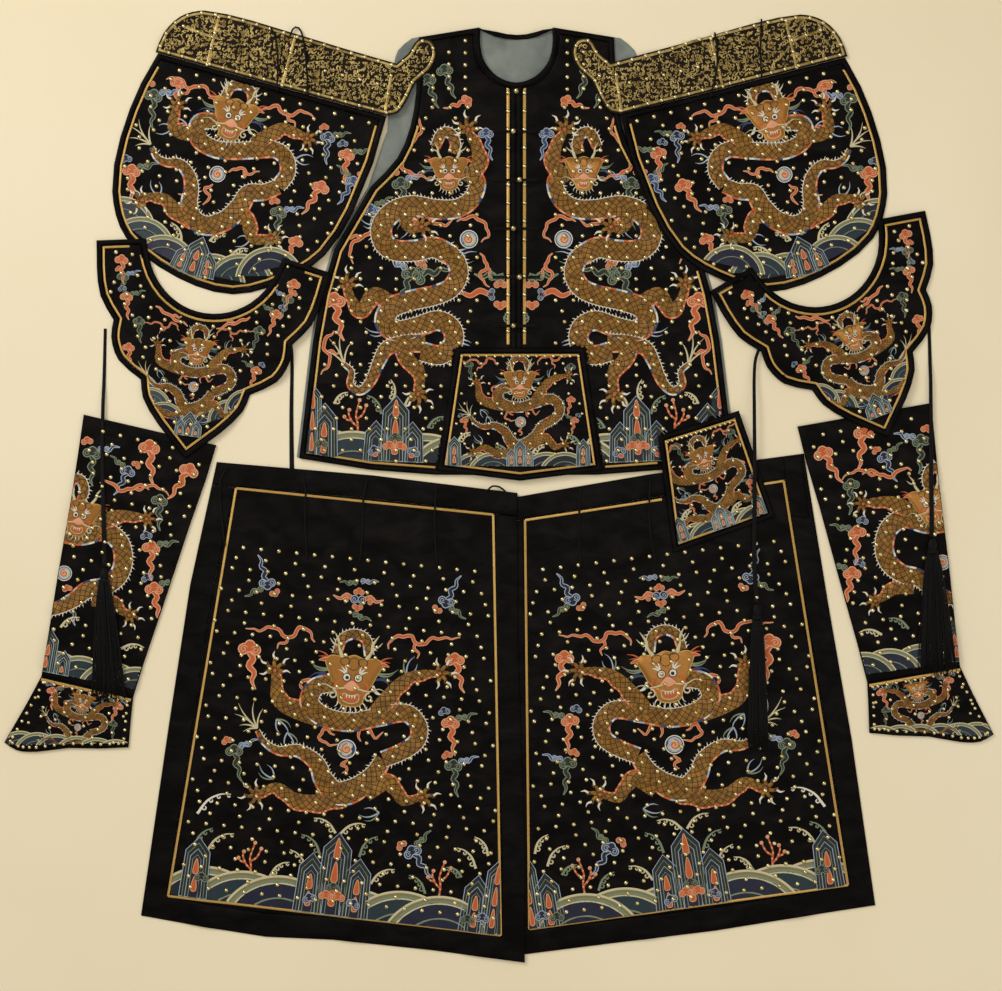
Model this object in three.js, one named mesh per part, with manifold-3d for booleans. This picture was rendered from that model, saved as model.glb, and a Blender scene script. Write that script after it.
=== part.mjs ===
// A ceremonial suit of court armour, laid out flat: a sleeveless coat, a pair of shoulder guards with
// gilt plates, a pair of armpit guards, a pair of sleeves, a front flap, a side flap and a skirt
// of two aprons, all of padded black satin. Millimetres, +Z up out of the surface that the suit lies on,
// +Y towards the neck. "left" and "right" are the two sides as one looks down on the suit.
import * as THREE from "three";
import { mergeVertices } from "three/addons/utils/BufferGeometryUtils.js";
import Module from "manifold-3d";

const wasm = await Module();
wasm.setup();

// Driving dimensions
const GAP = 0.3; // between pieces that meet
const CLOTH = 3; // satin, wadding and lining together
const BOUND_EDGE = 4; // the same cloth where a binding wraps its edge
const SLEEVE_WALL = 2.2; // each wall of a sleeve folded flat
const SLEEVE_HOLLOW = 0.8; // what is left open between the two walls
const SLEEVE_FOLD = 4; // width of the solid fold at a sleeve's side
const BINDING = 9; // width of a bound edge
const SKIRT_BORDER = 38; // width of the skirt's plain satin border
const NECK_BINDING = { width: 6, laps: 2 }; // its width beyond the edge, and within it
const PLATE = 1.6; // gilt plate
const TAPE = 1.5; // flat tie
const TAPE_ENDS = { sewn: 5, free: 8 }; // a tie's width at each end
const CORD = 3; // round cord
const SEAT = 0.1; // added to the gap under a cord or strand, which follows the form in straight steps
const FROG = { length: 80, height: 5, thick: 2 };
const BUTTON_RADIUS = 4.6;
const HEIGHT_LIMIT = 80; // anything above the whole layout
const FACET = THREE.MathUtils.degToRad(9); // how far an outline turns between its points
const CELL = 35; // spacing of the height grid that all pieces share
const DRAPE_SLOPE = 0.13; // how steeply cloth comes down beside an edge under it

// Where each piece's own frame lies in the layout, how far it is turned, and its size beside its pair's
const PLACES = {
  vest: { x: 26, y: 758, turn: 0 },
  shoulderLeft: { x: -377, y: 664, turn: -15.5 },
  shoulderRight: { x: 383, y: 662, turn: 14.4, mirror: true, size: 0.98 },
  armpitLeft: { x: -483, y: 309, turn: -8 },
  armpitRight: { x: 547, y: 324, turn: 20.6, mirror: true, size: 0.975 },
  sleeveLeft: { x: -578, y: 95, turn: -13 },
  sleeveRight: { x: 600, y: 120, turn: 10, mirror: true },
  frontFlap: { x: 32, y: 230, turn: 0 },
  sideFlap: { x: 325.5, y: 105.5, turn: 17.6 },
};

// Outlines: a row for each corner, and a row marked round for each point that a curve passes through
const VEST_FRONT = [
  { x: GAP / 2, y: -738 },
  { x: GAP / 2, y: -93 },
  { x: 33, y: -82, round: true },
  { x: 56, y: -54, round: true },
  { x: 62, y: -20, round: true },
  { x: 61, y: 0 },
  { x: 161, y: -16 },
  { x: 165, y: -106, round: true },
  { x: 175, y: -165, round: true },
  { x: 196, y: -215, round: true },
  { x: 240, y: -262 },
  { x: 300, y: -365, round: true },
  { x: 335, y: -516, round: true },
  { x: 358, y: -710 },
  { x: 240, y: -729, round: true },
  { x: 134, y: -737, round: true },
];
const VEST_BACK = [
  { x: 0, y: -18, round: true },
  { x: 35, y: -13, round: true },
  { x: 61, y: 1 },
  { x: 172, y: -17 },
  { x: 195, y: -37, round: true },
  { x: 204, y: -77, round: true },
  { x: 213, y: -170, round: true },
  { x: 244, y: -262 },
  { x: 304, y: -365, round: true },
  { x: 339, y: -516, round: true },
  { x: 362, y: -708 },
  { x: 240, y: -727, round: true },
  { x: 134, y: -735, round: true },
  { x: 0, y: -736, round: true },
];
const NECK_EDGE = [
  { x: 0, y: -93, round: true },
  { x: 33, y: -82, round: true },
  { x: 56, y: -54, round: true },
  { x: 62, y: -20, round: true },
  { x: 61, y: 0 },
  { x: 35, y: -13, round: true },
  { x: 0, y: -18, round: true },
];
const SHOULDER_GUARD = [
  { x: -195, y: 0 },
  { x: -209, y: -55, round: true },
  { x: -218, y: -150, round: true },
  { x: -207, y: -240, round: true },
  { x: -165, y: -307, round: true },
  { x: -65, y: -348, round: true },
  { x: 30, y: -350, round: true },
  { x: 108, y: -305, round: true },
  { x: 160, y: -248, round: true },
  { x: 186, y: -165, round: true },
  { x: 196, y: -80, round: true },
  { x: 196, y: 0 },
];
const SHOULDER_PLATE = [
  { x: -197, y: 2 },
  { x: 196, y: 2 },
  { x: 212, y: 11, round: true },
  { x: 221, y: 38, round: true },
  { x: 226, y: 66, round: true },
  { x: 243, y: 92, round: true },
  { x: 247, y: 120, round: true },
  { x: 234, y: 138, round: true },
  { x: 214, y: 134, round: true },
  { x: 205, y: 108, round: true },
  { x: 190, y: 86 },
  { x: -60, y: 92 },
  { x: -140, y: 87, round: true },
  { x: -175, y: 67, round: true },
  { x: -193, y: 34, round: true },
];
const ARMPIT_HALF = [
  { x: 0, y: -22, round: true },
  { x: 38, y: -15, round: true },
  { x: 71, y: 5, round: true },
  { x: 93, y: 31, round: true },
  { x: 107, y: 62, round: true },
  { x: 114, y: 86 },
  { x: 195, y: 72 },
  { x: 189, y: 30, round: true },
  { x: 176, y: -18, round: true },
  { x: 149, y: -54 },
  { x: 149, y: -82, round: true },
  { x: 132, y: -118, round: true },
  { x: 91, y: -145 },
  { x: 83, y: -174, round: true },
  { x: 52, y: -214, round: true },
  { x: 0, y: -265 },
];
const CUFF = [
  { x: -83, y: -436 },
  { x: -96, y: -484, round: true },
  { x: -118, y: -556 },
  { x: -95, y: -564, round: true },
  { x: -62, y: -559, round: true },
  { x: -12, y: -541, round: true },
  { x: 40, y: -530, round: true },
  { x: 83, y: -518 },
  { x: 77, y: -476, round: true },
  { x: 72, y: -436 },
];
const FRONT_FLAP = [
  { x: -106, y: 0 },
  { x: -136, y: -202 },
  { x: 0, y: -219, round: true },
  { x: 136, y: -202 },
  { x: 106, y: 0 },
];
const SIDE_FLAP = [
  { x: -70, y: 0 },
  { x: -104, y: -191 },
  { x: 75, y: -185 },
  { x: 70, y: 0 },
];
const SKIRT_LEFT = [
  { x: -468, y: 42 },
  { x: -512, y: -161, round: true },
  { x: -547, y: -391, round: true },
  { x: -593, y: -706 },
  { x: -482, y: -726, round: true },
  { x: -387, y: -741, round: true },
  { x: -275, y: -746, round: true },
  { x: -115, y: -763, round: true },
  { x: 40, y: -783 },
  { x: 40, y: -600, round: true },
  { x: 29, y: -250, round: true },
  { x: 28, y: -9 },
  { x: -210, y: 20, round: true },
];
const SKIRT_RIGHT = [
  { x: 0, y: -20 },
  { x: 3, y: -300, round: true },
  { x: 8, y: -774 },
  { x: 182, y: -752, round: true },
  { x: 354, y: -731, round: true },
  { x: 527, y: -703, round: true },
  { x: 618, y: -689 },
  { x: 579, y: -414, round: true },
  { x: 540, y: -189, round: true },
  { x: 500, y: 56 },
  { x: 247, y: 22, round: true },
];
// Sections of a sleeve from its open top to the cuff's seam
const SLEEVE = [
  { down: 0, outer: -112, inner: 112 },
  { down: 60, outer: -107, inner: 108 },
  { down: 140, outer: -101, inner: 99 },
  { down: 270, outer: -94, inner: 87 },
  { down: 370, outer: -87, inner: 77 },
  { down: 435.7, outer: -83, inner: 72 },
];
// Centre lines of the ties and cords, from the end that is sewn on to the free end
const TIES = {
  left_outer: [[-652, 262], [-653, 215], [-656, 60], [-653, -60], [-652, -132]],
  left_inner: [[-349, 250], [-344, 215], [-345, 120], [-344, 8]],
  right_outer: [[700, 315], [707, 258], [709, 120], [709, 0], [710, -84]],
  right_inner: [[427, 232], [418, 190], [418, 40], [418, -110], [422, -192]],
};
const SHOULDER_CORDS = {
  left_1: [[-379, 758], [-371, 742], [-367, 700], [-368, 652]],
  left_2: [[-347, 744], [-341, 757], [-332, 757], [-325, 738], [-319, 690], [-317, 646]],
  right_1: [[353, 750], [357, 722], [356, 690], [346, 642]],
  right_2: [[430, 772], [429, 741], [428, 710], [430, 676]],
};
const WAIST_CORDS = {
  1: [[-450, 34], [-462, 8], [-460, -40], [-454, -96]],
  2: [[-326, 24], [-321, -10], [-322, -60], [-319, -116]],
  3: [[-220, 14], [-226, -20], [-227, -70], [-232, -122]],
  4: [[-106, 4], [-108, -40], [-108, -80], [-104, -134]],
  5: [[-22, -6], [-14, 2], [0, 0], [10, -12], [6, -34]],
  6: [[132, -2], [130, -30], [129, -80], [132, -130]],
  7: [[246, 12], [245, -30], [247, -80], [256, -124]],
};
const WAIST_TAB = [
  { x: 466, y: 49 },
  { x: 476, y: -47 },
  { x: 509, y: -51 },
  { x: 496, y: 53 },
];
const HEM_FOLDS = [
  { x: -490, height: 2.6 },
  { x: -245, height: 2.2 },
  { x: 245, height: 2.2 },
  { x: 490, height: 2.6 },
];
const FOLD = { width: 35, starts: -560, full: -665 };
// Front closure, measured down from the shoulder and out from the opening
const CLOSURE = { first: -172, pitch: -80, count: 5, neckButton: -106, offset: 5 };
const TASSEL = { layers: 2, across: 11, strand: 2.4, head: 8, neck: 14 };
const TASSEL_SHAPES = {
  left: { length: 220, spread: 58, lean: 7 },
  right: { length: 228, spread: 62, lean: 8 },
  middle: { length: 245, spread: 34, lean: 2 },
};

const group = new THREE.Group();

// Outline points

// Points along an outline: a curve through each run of round rows, straight between corners.
function trace(rows) {
  const start = rows.findIndex((row) => !row.round);
  const loop = [...rows.slice(start), ...rows.slice(0, start + 1)];
  const points = [];
  let run = [loop[0]];
  for (const row of loop.slice(1)) {
    run.push(row);
    if (row.round) continue;
    const curve = smoothLine(run.map((p) => [p.x, p.y]));
    for (const t of stations(curve)) points.push(curve.getPoint(t));
    run = [row];
  }
  return points.map((p) => ({ x: p.x, y: p.y }));
}

function smoothLine(line) {
  return new THREE.CatmullRomCurve3(line.map(([x, y]) => new THREE.Vector3(x, y, 0)), false, "centripetal");
}

// Where a curve is sampled, its far end left out: at each of its points, and between them where it turns.
function stations(curve) {
  const spans = curve.points.length - 1;
  const found = [];
  for (let k = 0; k < spans; k += 1) {
    const turned = curve.getTangent((k + 0.02) / spans).angleTo(curve.getTangent((k + 0.98) / spans));
    const steps = Math.max(1, Math.ceil(turned / FACET));
    for (let i = 0; i < steps; i += 1) found.push((k + i / steps) / spans);
  }
  return found;
}

function mirrored(rows) {
  return rows.map((row) => ({ ...row, x: -row.x })).reverse();
}

// The rows of a half outline and then of its mirror image, as one closed outline.
function bothHalves(rows) {
  return [...rows, ...mirrored(rows.filter((row) => row.x !== 0))];
}

function place(points, at) {
  const turn = THREE.MathUtils.degToRad(at.turn);
  const size = at.size ?? 1;
  const side = at.mirror ? -size : size;
  const placed = points.map((p) => ({
    x: at.x + side * p.x * Math.cos(turn) - size * p.y * Math.sin(turn),
    y: at.y + side * p.x * Math.sin(turn) + size * p.y * Math.cos(turn),
  }));
  return area(placed) < 0 ? placed.reverse() : placed;
}

function area(points) {
  return points.reduce((sum, p, i) => {
    const q = points[(i + 1) % points.length];
    return sum + (p.x * q.y - q.x * p.y) / 2;
  }, 0);
}

// The outline moved inwards, each corner along its own mitre; points that a corner leaves too near the
// old outline are dropped.
function inset(points, by) {
  const moved = points.map((p, i) => {
    const before = points[(i + points.length - 1) % points.length];
    const after = points[(i + 1) % points.length];
    const a = edgeNormal(before, p);
    const b = edgeNormal(p, after);
    const stretch = by / Math.max(0.25, 1 + a.x * b.x + a.y * b.y);
    return { x: p.x + (a.x + b.x) * stretch, y: p.y + (a.y + b.y) * stretch };
  });
  return moved.filter((p) => edgeDistance(points, p.x, p.y) > 0.985 * Math.abs(by));
}

function edgeDistance(points, x, y) {
  return points.reduce((nearest, p, i) => {
    const q = points[(i + 1) % points.length];
    const [dx, dy] = [q.x - p.x, q.y - p.y];
    const along = THREE.MathUtils.clamp(((x - p.x) * dx + (y - p.y) * dy) / (dx * dx + dy * dy), 0, 1);
    return Math.min(nearest, Math.hypot(x - p.x - along * dx, y - p.y - along * dy));
  }, Infinity);
}

// The unit vector that points inwards from an edge of a counter-clockwise outline.
function edgeNormal(p, q) {
  const length = Math.hypot(q.x - p.x, q.y - p.y);
  return { x: -(q.y - p.y) / length, y: (q.x - p.x) / length };
}

// A strip along a smooth line, of one width at its start and another at its end.
function strip(line, width, endWidth) {
  const curve = smoothLine(line);
  const sides = [[], []];
  for (const t of [...stations(curve), 1]) {
    const p = curve.getPoint(t);
    const along = curve.getTangent(t);
    const half = THREE.MathUtils.lerp(width, endWidth, t) / 2;
    sides[0].push({ x: p.x + along.y * half, y: p.y - along.x * half });
    sides[1].push({ x: p.x - along.y * half, y: p.y + along.x * half });
  }
  return [...sides[0], ...sides[1].reverse()];
}

// Solids

function solid(geometry) {
  geometry.deleteAttribute("normal");
  geometry.deleteAttribute("uv");
  const merged = mergeVertices(geometry, 1e-4);
  return new wasm.Manifold(
    new wasm.Mesh({
      numProp: 3,
      vertProperties: new Float32Array(merged.attributes.position.array),
      triVerts: new Uint32Array(merged.index.array),
    }),
  );
}

function prism(points) {
  const shape = new THREE.Shape(points.map((p) => new THREE.Vector2(p.x, p.y)));
  const options = { depth: 2 * HEIGHT_LIMIT, bevelEnabled: false };
  return solid(new THREE.ExtrudeGeometry(shape, options).translate(0, 0, -HEIGHT_LIMIT));
}

// All heights are kept on one grid, so that the surfaces of pieces that lie on each other never cross.
// A grid point's number is its row times LINES.across plus its column.
const LINES = { west: -910, south: -875, across: 53, up: 51 };

function gridX(i) {
  return LINES.west + i * CELL;
}

function gridY(j) {
  return LINES.south + j * CELL;
}

function encloses(points, x, y) {
  return points.reduce((inside, p, i) => {
    const q = points[(i + 1) % points.length];
    const crosses = p.y > y !== q.y > y && x < p.x + ((q.x - p.x) * (y - p.y)) / (q.y - p.y);
    return crosses ? !inside : inside;
  }, false);
}

// How high a piece with this outline lies at each grid point: over the layers under it, coming down to
// the floor beside them at the slope that the cloth allows.
function restingHeights(outline, over) {
  const near = [];
  for (let j = 0; j < LINES.up; j += 1)
    for (let i = 0; i < LINES.across; i += 1) {
      const [x, y] = [gridX(i), gridY(j)];
      if (!encloses(outline, x, y) && edgeDistance(outline, x, y) > 1.5 * CELL) continue;
      const at = j * LINES.across + i;
      const height = Math.max(0, ...over.filter((l) => l.covers.has(at)).map((l) => l.tops.get(at) + GAP));
      near.push({ i, j, at, height });
    }
  const raised = near.filter((v) => v.height > 0);
  return new Map(
    near.map((v) => [
      v.at,
      raised.reduce(
        (most, u) => Math.max(most, u.height - DRAPE_SLOPE * CELL * Math.hypot(u.i - v.i, u.j - v.j)),
        v.height,
      ),
    ]),
  );
}

// A layer is one thickness of cloth laid over others; its pieces are cut from it by their outlines.
function lay(outline, over, thick, rise = () => 0) {
  const lows = restingHeights(outline, over);
  const tops = new Map();
  for (const [at, low] of lows) {
    const x = gridX(at % LINES.across);
    const y = gridY(Math.floor(at / LINES.across));
    tops.set(at, low + thick + rise(x, y));
  }
  return { outline, lows, tops, covers: new Set(lows.keys()), thick };
}

function gridSpan(values, start) {
  return [Math.floor((Math.min(...values) - start) / CELL), Math.ceil((Math.max(...values) - start) / CELL)];
}

// Two height functions over the whole of a layer's box. Away from the layer, each takes the nearest
// height that the layer has.
function heightsOverBox(layer, [i0, i1], [j0, j1], functions) {
  const column = (at) => at % LINES.across;
  const row = (at) => Math.floor(at / LINES.across);
  const known = [...layer.lows.keys()];
  const away = (at, i, j) => Math.hypot(column(at) - i, row(at) - j);
  return functions.map((heightAt) => {
    const heights = new Map();
    for (let j = j0; j <= j1; j += 1)
      for (let i = i0; i <= i1; i += 1) {
        const at = j * LINES.across + i;
        const nearer = (a, b) => (away(a, i, j) <= away(b, i, j) ? a : b);
        heights.set(at, heightAt(layer.lows.has(at) ? at : known.reduce(nearer)));
      }
    return heights;
  });
}

// The part of a layer between two heights, on the grid lines at which either height bends.
function slab(layer, from, to) {
  const spanX = gridSpan(layer.outline.map((p) => p.x), LINES.west);
  const spanY = gridSpan(layer.outline.map((p) => p.y), LINES.south);
  const heights = heightsOverBox(layer, spanX, spanY, [from, to]);
  const columns = bendingLines(heights, [...spanX, 1], [...spanY, LINES.across]);
  const rows = bendingLines(heights, [...spanY, LINES.across], [...spanX, 1]);
  const [across, up] = [columns.length, rows.length];
  const positions = [];
  for (const height of heights)
    for (const j of rows)
      for (const i of columns) positions.push(gridX(i), gridY(j), height.get(j * LINES.across + i));
  const faces = [];
  const top = across * up;
  for (let j = 0; j < up - 1; j += 1)
    for (let i = 0; i < across - 1; i += 1) {
      const a = j * across + i;
      const [b, c, d] = [a + 1, a + across + 1, a + across];
      faces.push(a, c, b, a, d, c, top + a, top + b, top + c, top + a, top + c, top + d);
    }
  const rim = [];
  for (let i = 0; i < across - 1; i += 1) rim.push(i);
  for (let j = 0; j < up - 1; j += 1) rim.push(j * across + across - 1);
  for (let i = across - 1; i > 0; i -= 1) rim.push((up - 1) * across + i);
  for (let j = up - 1; j > 0; j -= 1) rim.push(j * across);
  rim.forEach((a, k) => {
    const b = rim[(k + 1) % rim.length];
    faces.push(a, b, top + b, a, top + b, top + a);
  });
  const geometry = new THREE.BufferGeometry();
  geometry.setAttribute("position", new THREE.BufferAttribute(new Float32Array(positions), 3));
  geometry.setIndex(faces);
  return solid(geometry);
}

// The grid lines of one direction that a height field needs: the first, the last, and each at which a
// surface bends or has a twisted cell beside it.
function bendingLines(heights, [first, last, step], [start, end, stride]) {
  const bends = (line) =>
    heights.some((height) => {
      const value = (a, b) => height.get(a * step + b * stride);
      for (let k = start; k <= end; k += 1) {
        const bend = value(line - 1, k) - 2 * value(line, k) + value(line + 1, k);
        if (Math.abs(bend) > 1e-6) return true;
        if (k === end) continue;
        const twist = value(line, k) + value(line - 1, k + 1) - value(line - 1, k) - value(line, k + 1);
        if (Math.abs(twist) > 1e-6) return true;
      }
      return false;
    });
  const lines = [first];
  for (let line = first + 1; line < last; line += 1) if (bends(line)) lines.push(line);
  return [...lines, last];
}

// A slab from the layer's underside up to its own thickness, or to another one.
function sheet(layer, thick = layer.thick) {
  const low = (at) => layer.lows.get(at);
  const high = (at) => layer.tops.get(at) + thick - layer.thick;
  return slab(layer, low, high);
}

function add(name, material, body) {
  const mesh = body.getMesh();
  const geometry = new THREE.BufferGeometry();
  geometry.setAttribute("position", new THREE.BufferAttribute(new Float32Array(mesh.vertProperties), 3));
  geometry.setIndex(new THREE.BufferAttribute(new Uint32Array(mesh.triVerts), 1));
  geometry.computeVertexNormals();
  const piece = new THREE.Mesh(geometry, material);
  piece.name = name;
  group.add(piece);
}

// Materials

const satin = new THREE.MeshStandardMaterial({ color: 0x17120f, roughness: 0.5, metalness: 0 });
const plainSatin = new THREE.MeshStandardMaterial({ color: 0x0f0d0c, roughness: 0.55, metalness: 0 });
const lining = new THREE.MeshStandardMaterial({ color: 0x7f8c93, roughness: 0.9, metalness: 0 });
const gilt = new THREE.MeshStandardMaterial({ color: 0x9c7c35, roughness: 0.4, metalness: 0.9 });
const silkCord = new THREE.MeshStandardMaterial({ color: 0x0a0a10, roughness: 0.7, metalness: 0 });

// A panel and the binding that wraps its edge, cut from one layer.
function boundPanel(name, bindingName, layer) {
  add(name, satin, sheet(layer).intersect(prism(inset(layer.outline, BINDING + GAP))));
  const edge = prism(layer.outline).subtract(prism(inset(layer.outline, BINDING)));
  add(bindingName, plainSatin, sheet(layer, BOUND_EDGE).intersect(edge));
}

// What is laid on a bound panel has to clear its thicker edge.
function withBoundEdge(layer) {
  const tops = new Map([...layer.tops].map(([at, top]) => [at, top + BOUND_EDGE - CLOTH]));
  return { ...layer, tops };
}

// Skirt: two aprons, each a field with a border on three sides and a waistband, the left one on top

function skirtApron(side, rows, over) {
  const layer = lay(trace(rows), over, CLOTH, hemFold);
  const field = inset(layer.outline, SKIRT_BORDER);
  const [west, east] = [rows[0], rows.findLast((row) => !row.round)];
  const reach = 60;
  const seam = (x) => lineAt(west, east, x) - SKIRT_BORDER;
  const above = (drop) => [
    { x: west.x - reach, y: seam(west.x - reach) - drop },
    { x: east.x + reach, y: seam(east.x + reach) - drop },
    { x: east.x + reach, y: east.y + 3 * reach },
    { x: west.x - reach, y: west.y + 3 * reach },
  ];
  const frame = prism(layer.outline).subtract(prism(field));
  const cloth = sheet(layer);
  add(`skirt_field_${side}`, satin, cloth.intersect(prism(inset(layer.outline, SKIRT_BORDER + GAP))));
  add(`skirt_waistband_${side}`, plainSatin, cloth.intersect(frame).intersect(prism(above(0))));
  add(`skirt_border_${side}`, plainSatin, cloth.intersect(frame).subtract(prism(above(GAP))));
  return layer;
}

function lineAt(a, b, x) {
  return a.y + ((b.y - a.y) * (x - a.x)) / (b.x - a.x);
}

// The aprons' hems lift in shallow folds, which fade out above the hem.
function hemFold(x, y) {
  const fold = HEM_FOLDS.find((f) => Math.abs(x - f.x) < FOLD.width);
  if (!fold) return 0;
  const across = 1 - Math.abs(x - fold.x) / FOLD.width;
  return fold.height * across * THREE.MathUtils.clamp((FOLD.starts - y) / (FOLD.starts - FOLD.full), 0, 1);
}

// A flat piece of one thickness, such as a tie or a frog.
function flatPiece(name, material, outline, over, thick) {
  const layer = lay(outline, over, thick);
  add(name, material, sheet(layer).intersect(prism(outline)));
  return layer;
}

function tie(name, line, over) {
  return flatPiece(`guard_tie_${name}`, silkCord, strip(line, TAPE_ENDS.sewn, TAPE_ENDS.free), over, TAPE);
}

// Tucked under the skirt's waistband: the inner tie of the left armpit guard
const tieLeftInner = tie("left_inner", TIES.left_inner, []);

const skirtRight = skirtApron("right", SKIRT_RIGHT, []);
const skirtLeft = skirtApron("left", SKIRT_LEFT, [skirtRight, tieLeftInner]);

flatPiece("waist_tab", plainSatin, trace(WAIST_TAB), [skirtRight], TAPE);

// Coat: the back with its lining up, the two fronts on it, and the binding round the neck

function boundFront(side, rows, back) {
  const layer = lay(place(trace(rows), PLACES.vest), [back], CLOTH);
  boundPanel(`vest_front_${side}`, `vest_binding_${side}`, layer);
  return withBoundEdge(layer);
}

const backOutline = place(trace(bothHalves(VEST_BACK)), PLACES.vest);
const vestBack = flatPiece("vest_back", lining, backOutline, [], CLOTH);
const vestRight = boundFront("right", VEST_FRONT, vestBack);
const vestLeft = boundFront("left", mirrored(VEST_FRONT), vestBack);
const vest = [vestBack, vestLeft, vestRight];

const neckEdge = place(trace(bothHalves(NECK_EDGE)), PLACES.vest);
const neckLayer = lay(inset(neckEdge, -NECK_BINDING.width), vest, TAPE);
const neckRing = prism(neckLayer.outline).subtract(prism(inset(neckEdge, NECK_BINDING.laps)));
add("neck_binding", plainSatin, sheet(neckLayer).intersect(neckRing));

// Front closure: frogs that are flat bars, each with a ball button, and one more button at the neck

function crossBar(y, half) {
  const { x } = PLACES.vest;
  return [[x - half, y], [x, y + 0.5], [x + half, y]];
}

for (let k = 0; k < CLOSURE.count; k += 1) {
  const y = PLACES.vest.y + CLOSURE.first + k * CLOSURE.pitch;
  const bar = strip(crossBar(y, FROG.length / 2), FROG.height, FROG.height);
  const frog = flatPiece(`frog_${k + 1}`, plainSatin, bar, vest, FROG.thick);
  button(`button_${k + 2}`, PLACES.vest.x + (k % 2 ? CLOSURE.offset : -CLOSURE.offset), y, frog);
}
const neckY = PLACES.vest.y + CLOSURE.neckButton;
button("button_1", PLACES.vest.x, neckY, lay(strip(crossBar(neckY, 2 * BUTTON_RADIUS), 9, 9), vest, 0));

// A ball button, slightly flattened where it is sewn on.
function button(name, x, y, layer) {
  const profile = [];
  const steps = 5;
  const foot = 0.42 * Math.PI;
  for (let k = 0; k <= steps; k += 1) {
    const lift = THREE.MathUtils.lerp(-foot, Math.PI / 2, k / steps);
    const out = k === steps ? 0 : BUTTON_RADIUS * Math.cos(lift);
    profile.push(new THREE.Vector2(out, BUTTON_RADIUS * Math.sin(lift)));
  }
  profile.unshift(new THREE.Vector2(0, -BUTTON_RADIUS * Math.sin(foot)));
  const ball = new THREE.LatheGeometry(profile, 10).rotateX(Math.PI / 2);
  const z = heightAt(layer, x, y) + GAP + BUTTON_RADIUS * Math.sin(foot);
  add(name, gilt, solid(ball).translate([x, y, z]));
}

// The height of a layer's top over a point, on the grid's own triangles.
function heightAt(layer, x, y) {
  const u = (x - LINES.west) / CELL;
  const v = (y - LINES.south) / CELL;
  const [i, j] = [Math.floor(u), Math.floor(v)];
  const value = (a, b) => layer.tops.get((j + b) * LINES.across + i + a) ?? 0;
  const [s, t] = [u - i, v - j];
  return s > t
    ? value(0, 0) + s * (value(1, 0) - value(0, 0)) + t * (value(1, 1) - value(1, 0))
    : value(0, 0) + t * (value(0, 1) - value(0, 0)) + s * (value(1, 1) - value(0, 1));
}

// Front flap, over the two fronts

const flapLayer = lay(place(trace(FRONT_FLAP), PLACES.frontFlap), vest, CLOTH);
boundPanel("front_flap", "front_flap_binding", flapLayer);

// Side flap, over the coat's corner and the skirt

const sideLayer = lay(place(trace(SIDE_FLAP), PLACES.sideFlap), [...vest, skirtRight], CLOTH);
boundPanel("side_flap", "side_flap_binding", sideLayer);

// Sleeves: each a tube folded flat, open at the top, with a cuff of the same kind

// One side of a sleeve, from its top down, a little in from its edge and a little past its ends.
function sleeveEdge(key, inward, past) {
  const last = SLEEVE.length - 1;
  return SLEEVE.map((row, k) => ({
    x: row[key] + inward,
    y: -row.down + (k === 0 ? past : 0) - (k === last ? past : 0),
  }));
}

function sleeveOutline(fold, past) {
  return [...sleeveEdge("outer", fold, past), ...sleeveEdge("inner", -fold, past).reverse()];
}

// The hollow of a cuff, which runs out past both of its ends.
function cuffHollow(fold, past) {
  const [outer, corner] = [CUFF[0], CUFF[2]];
  const [inner, mouth] = [CUFF.at(-1), CUFF.at(-3)];
  return [
    { x: outer.x + fold, y: outer.y + past },
    { x: corner.x + fold, y: corner.y },
    { x: corner.x + fold, y: corner.y - 2 * past },
    { x: mouth.x - fold, y: corner.y - 2 * past },
    { x: mouth.x - fold, y: mouth.y },
    { x: inner.x - fold, y: inner.y + past },
  ];
}

function sleeve(side, at) {
  const [outer, inner] = [sleeveEdge("outer", 0, 0), sleeveEdge("inner", 0, 0).reverse()];
  const whole = place([...outer, ...trace(CUFF.slice(0, -1)), ...inner], at);
  const layer = lay(whole, [], 2 * SLEEVE_WALL + SLEEVE_HOLLOW);
  const over = (height) => (point) => layer.lows.get(point) + height;
  const hollow = slab(layer, over(SLEEVE_WALL), over(SLEEVE_WALL + SLEEVE_HOLLOW));
  const tube = (outline, bore) =>
    sheet(layer).intersect(prism(place(outline, at))).subtract(hollow.intersect(prism(place(bore, at))));
  const past = 12;
  add(`sleeve_${side}`, satin, tube(sleeveOutline(0, 0), sleeveOutline(SLEEVE_FOLD, past)));
  add(`cuff_${side}`, satin, tube(trace(CUFF), cuffHollow(SLEEVE_FOLD, past)));
  return layer;
}

const sleeveLeft = sleeve("left", PLACES.sleeveLeft);
const sleeveRight = sleeve("right", PLACES.sleeveRight);

// Shoulder guards: a bound panel with a pierced gilt plate along its top edge

function shoulderGuard(side, at) {
  const layer = lay(place(trace(SHOULDER_GUARD), at), vest, CLOTH);
  boundPanel(`shoulder_guard_${side}`, `shoulder_binding_${side}`, layer);
  const guard = withBoundEdge(layer);
  const plateOutline = place(trace(SHOULDER_PLATE), at);
  return [guard, flatPiece(`shoulder_plate_${side}`, gilt, plateOutline, [...vest, guard], PLATE)];
}

const shoulderLeft = shoulderGuard("left", PLACES.shoulderLeft);
const shoulderRight = shoulderGuard("right", PLACES.shoulderRight);

// Ties of the armpit guards, sewn under the guards' notches, and the tassels on three of them

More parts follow.
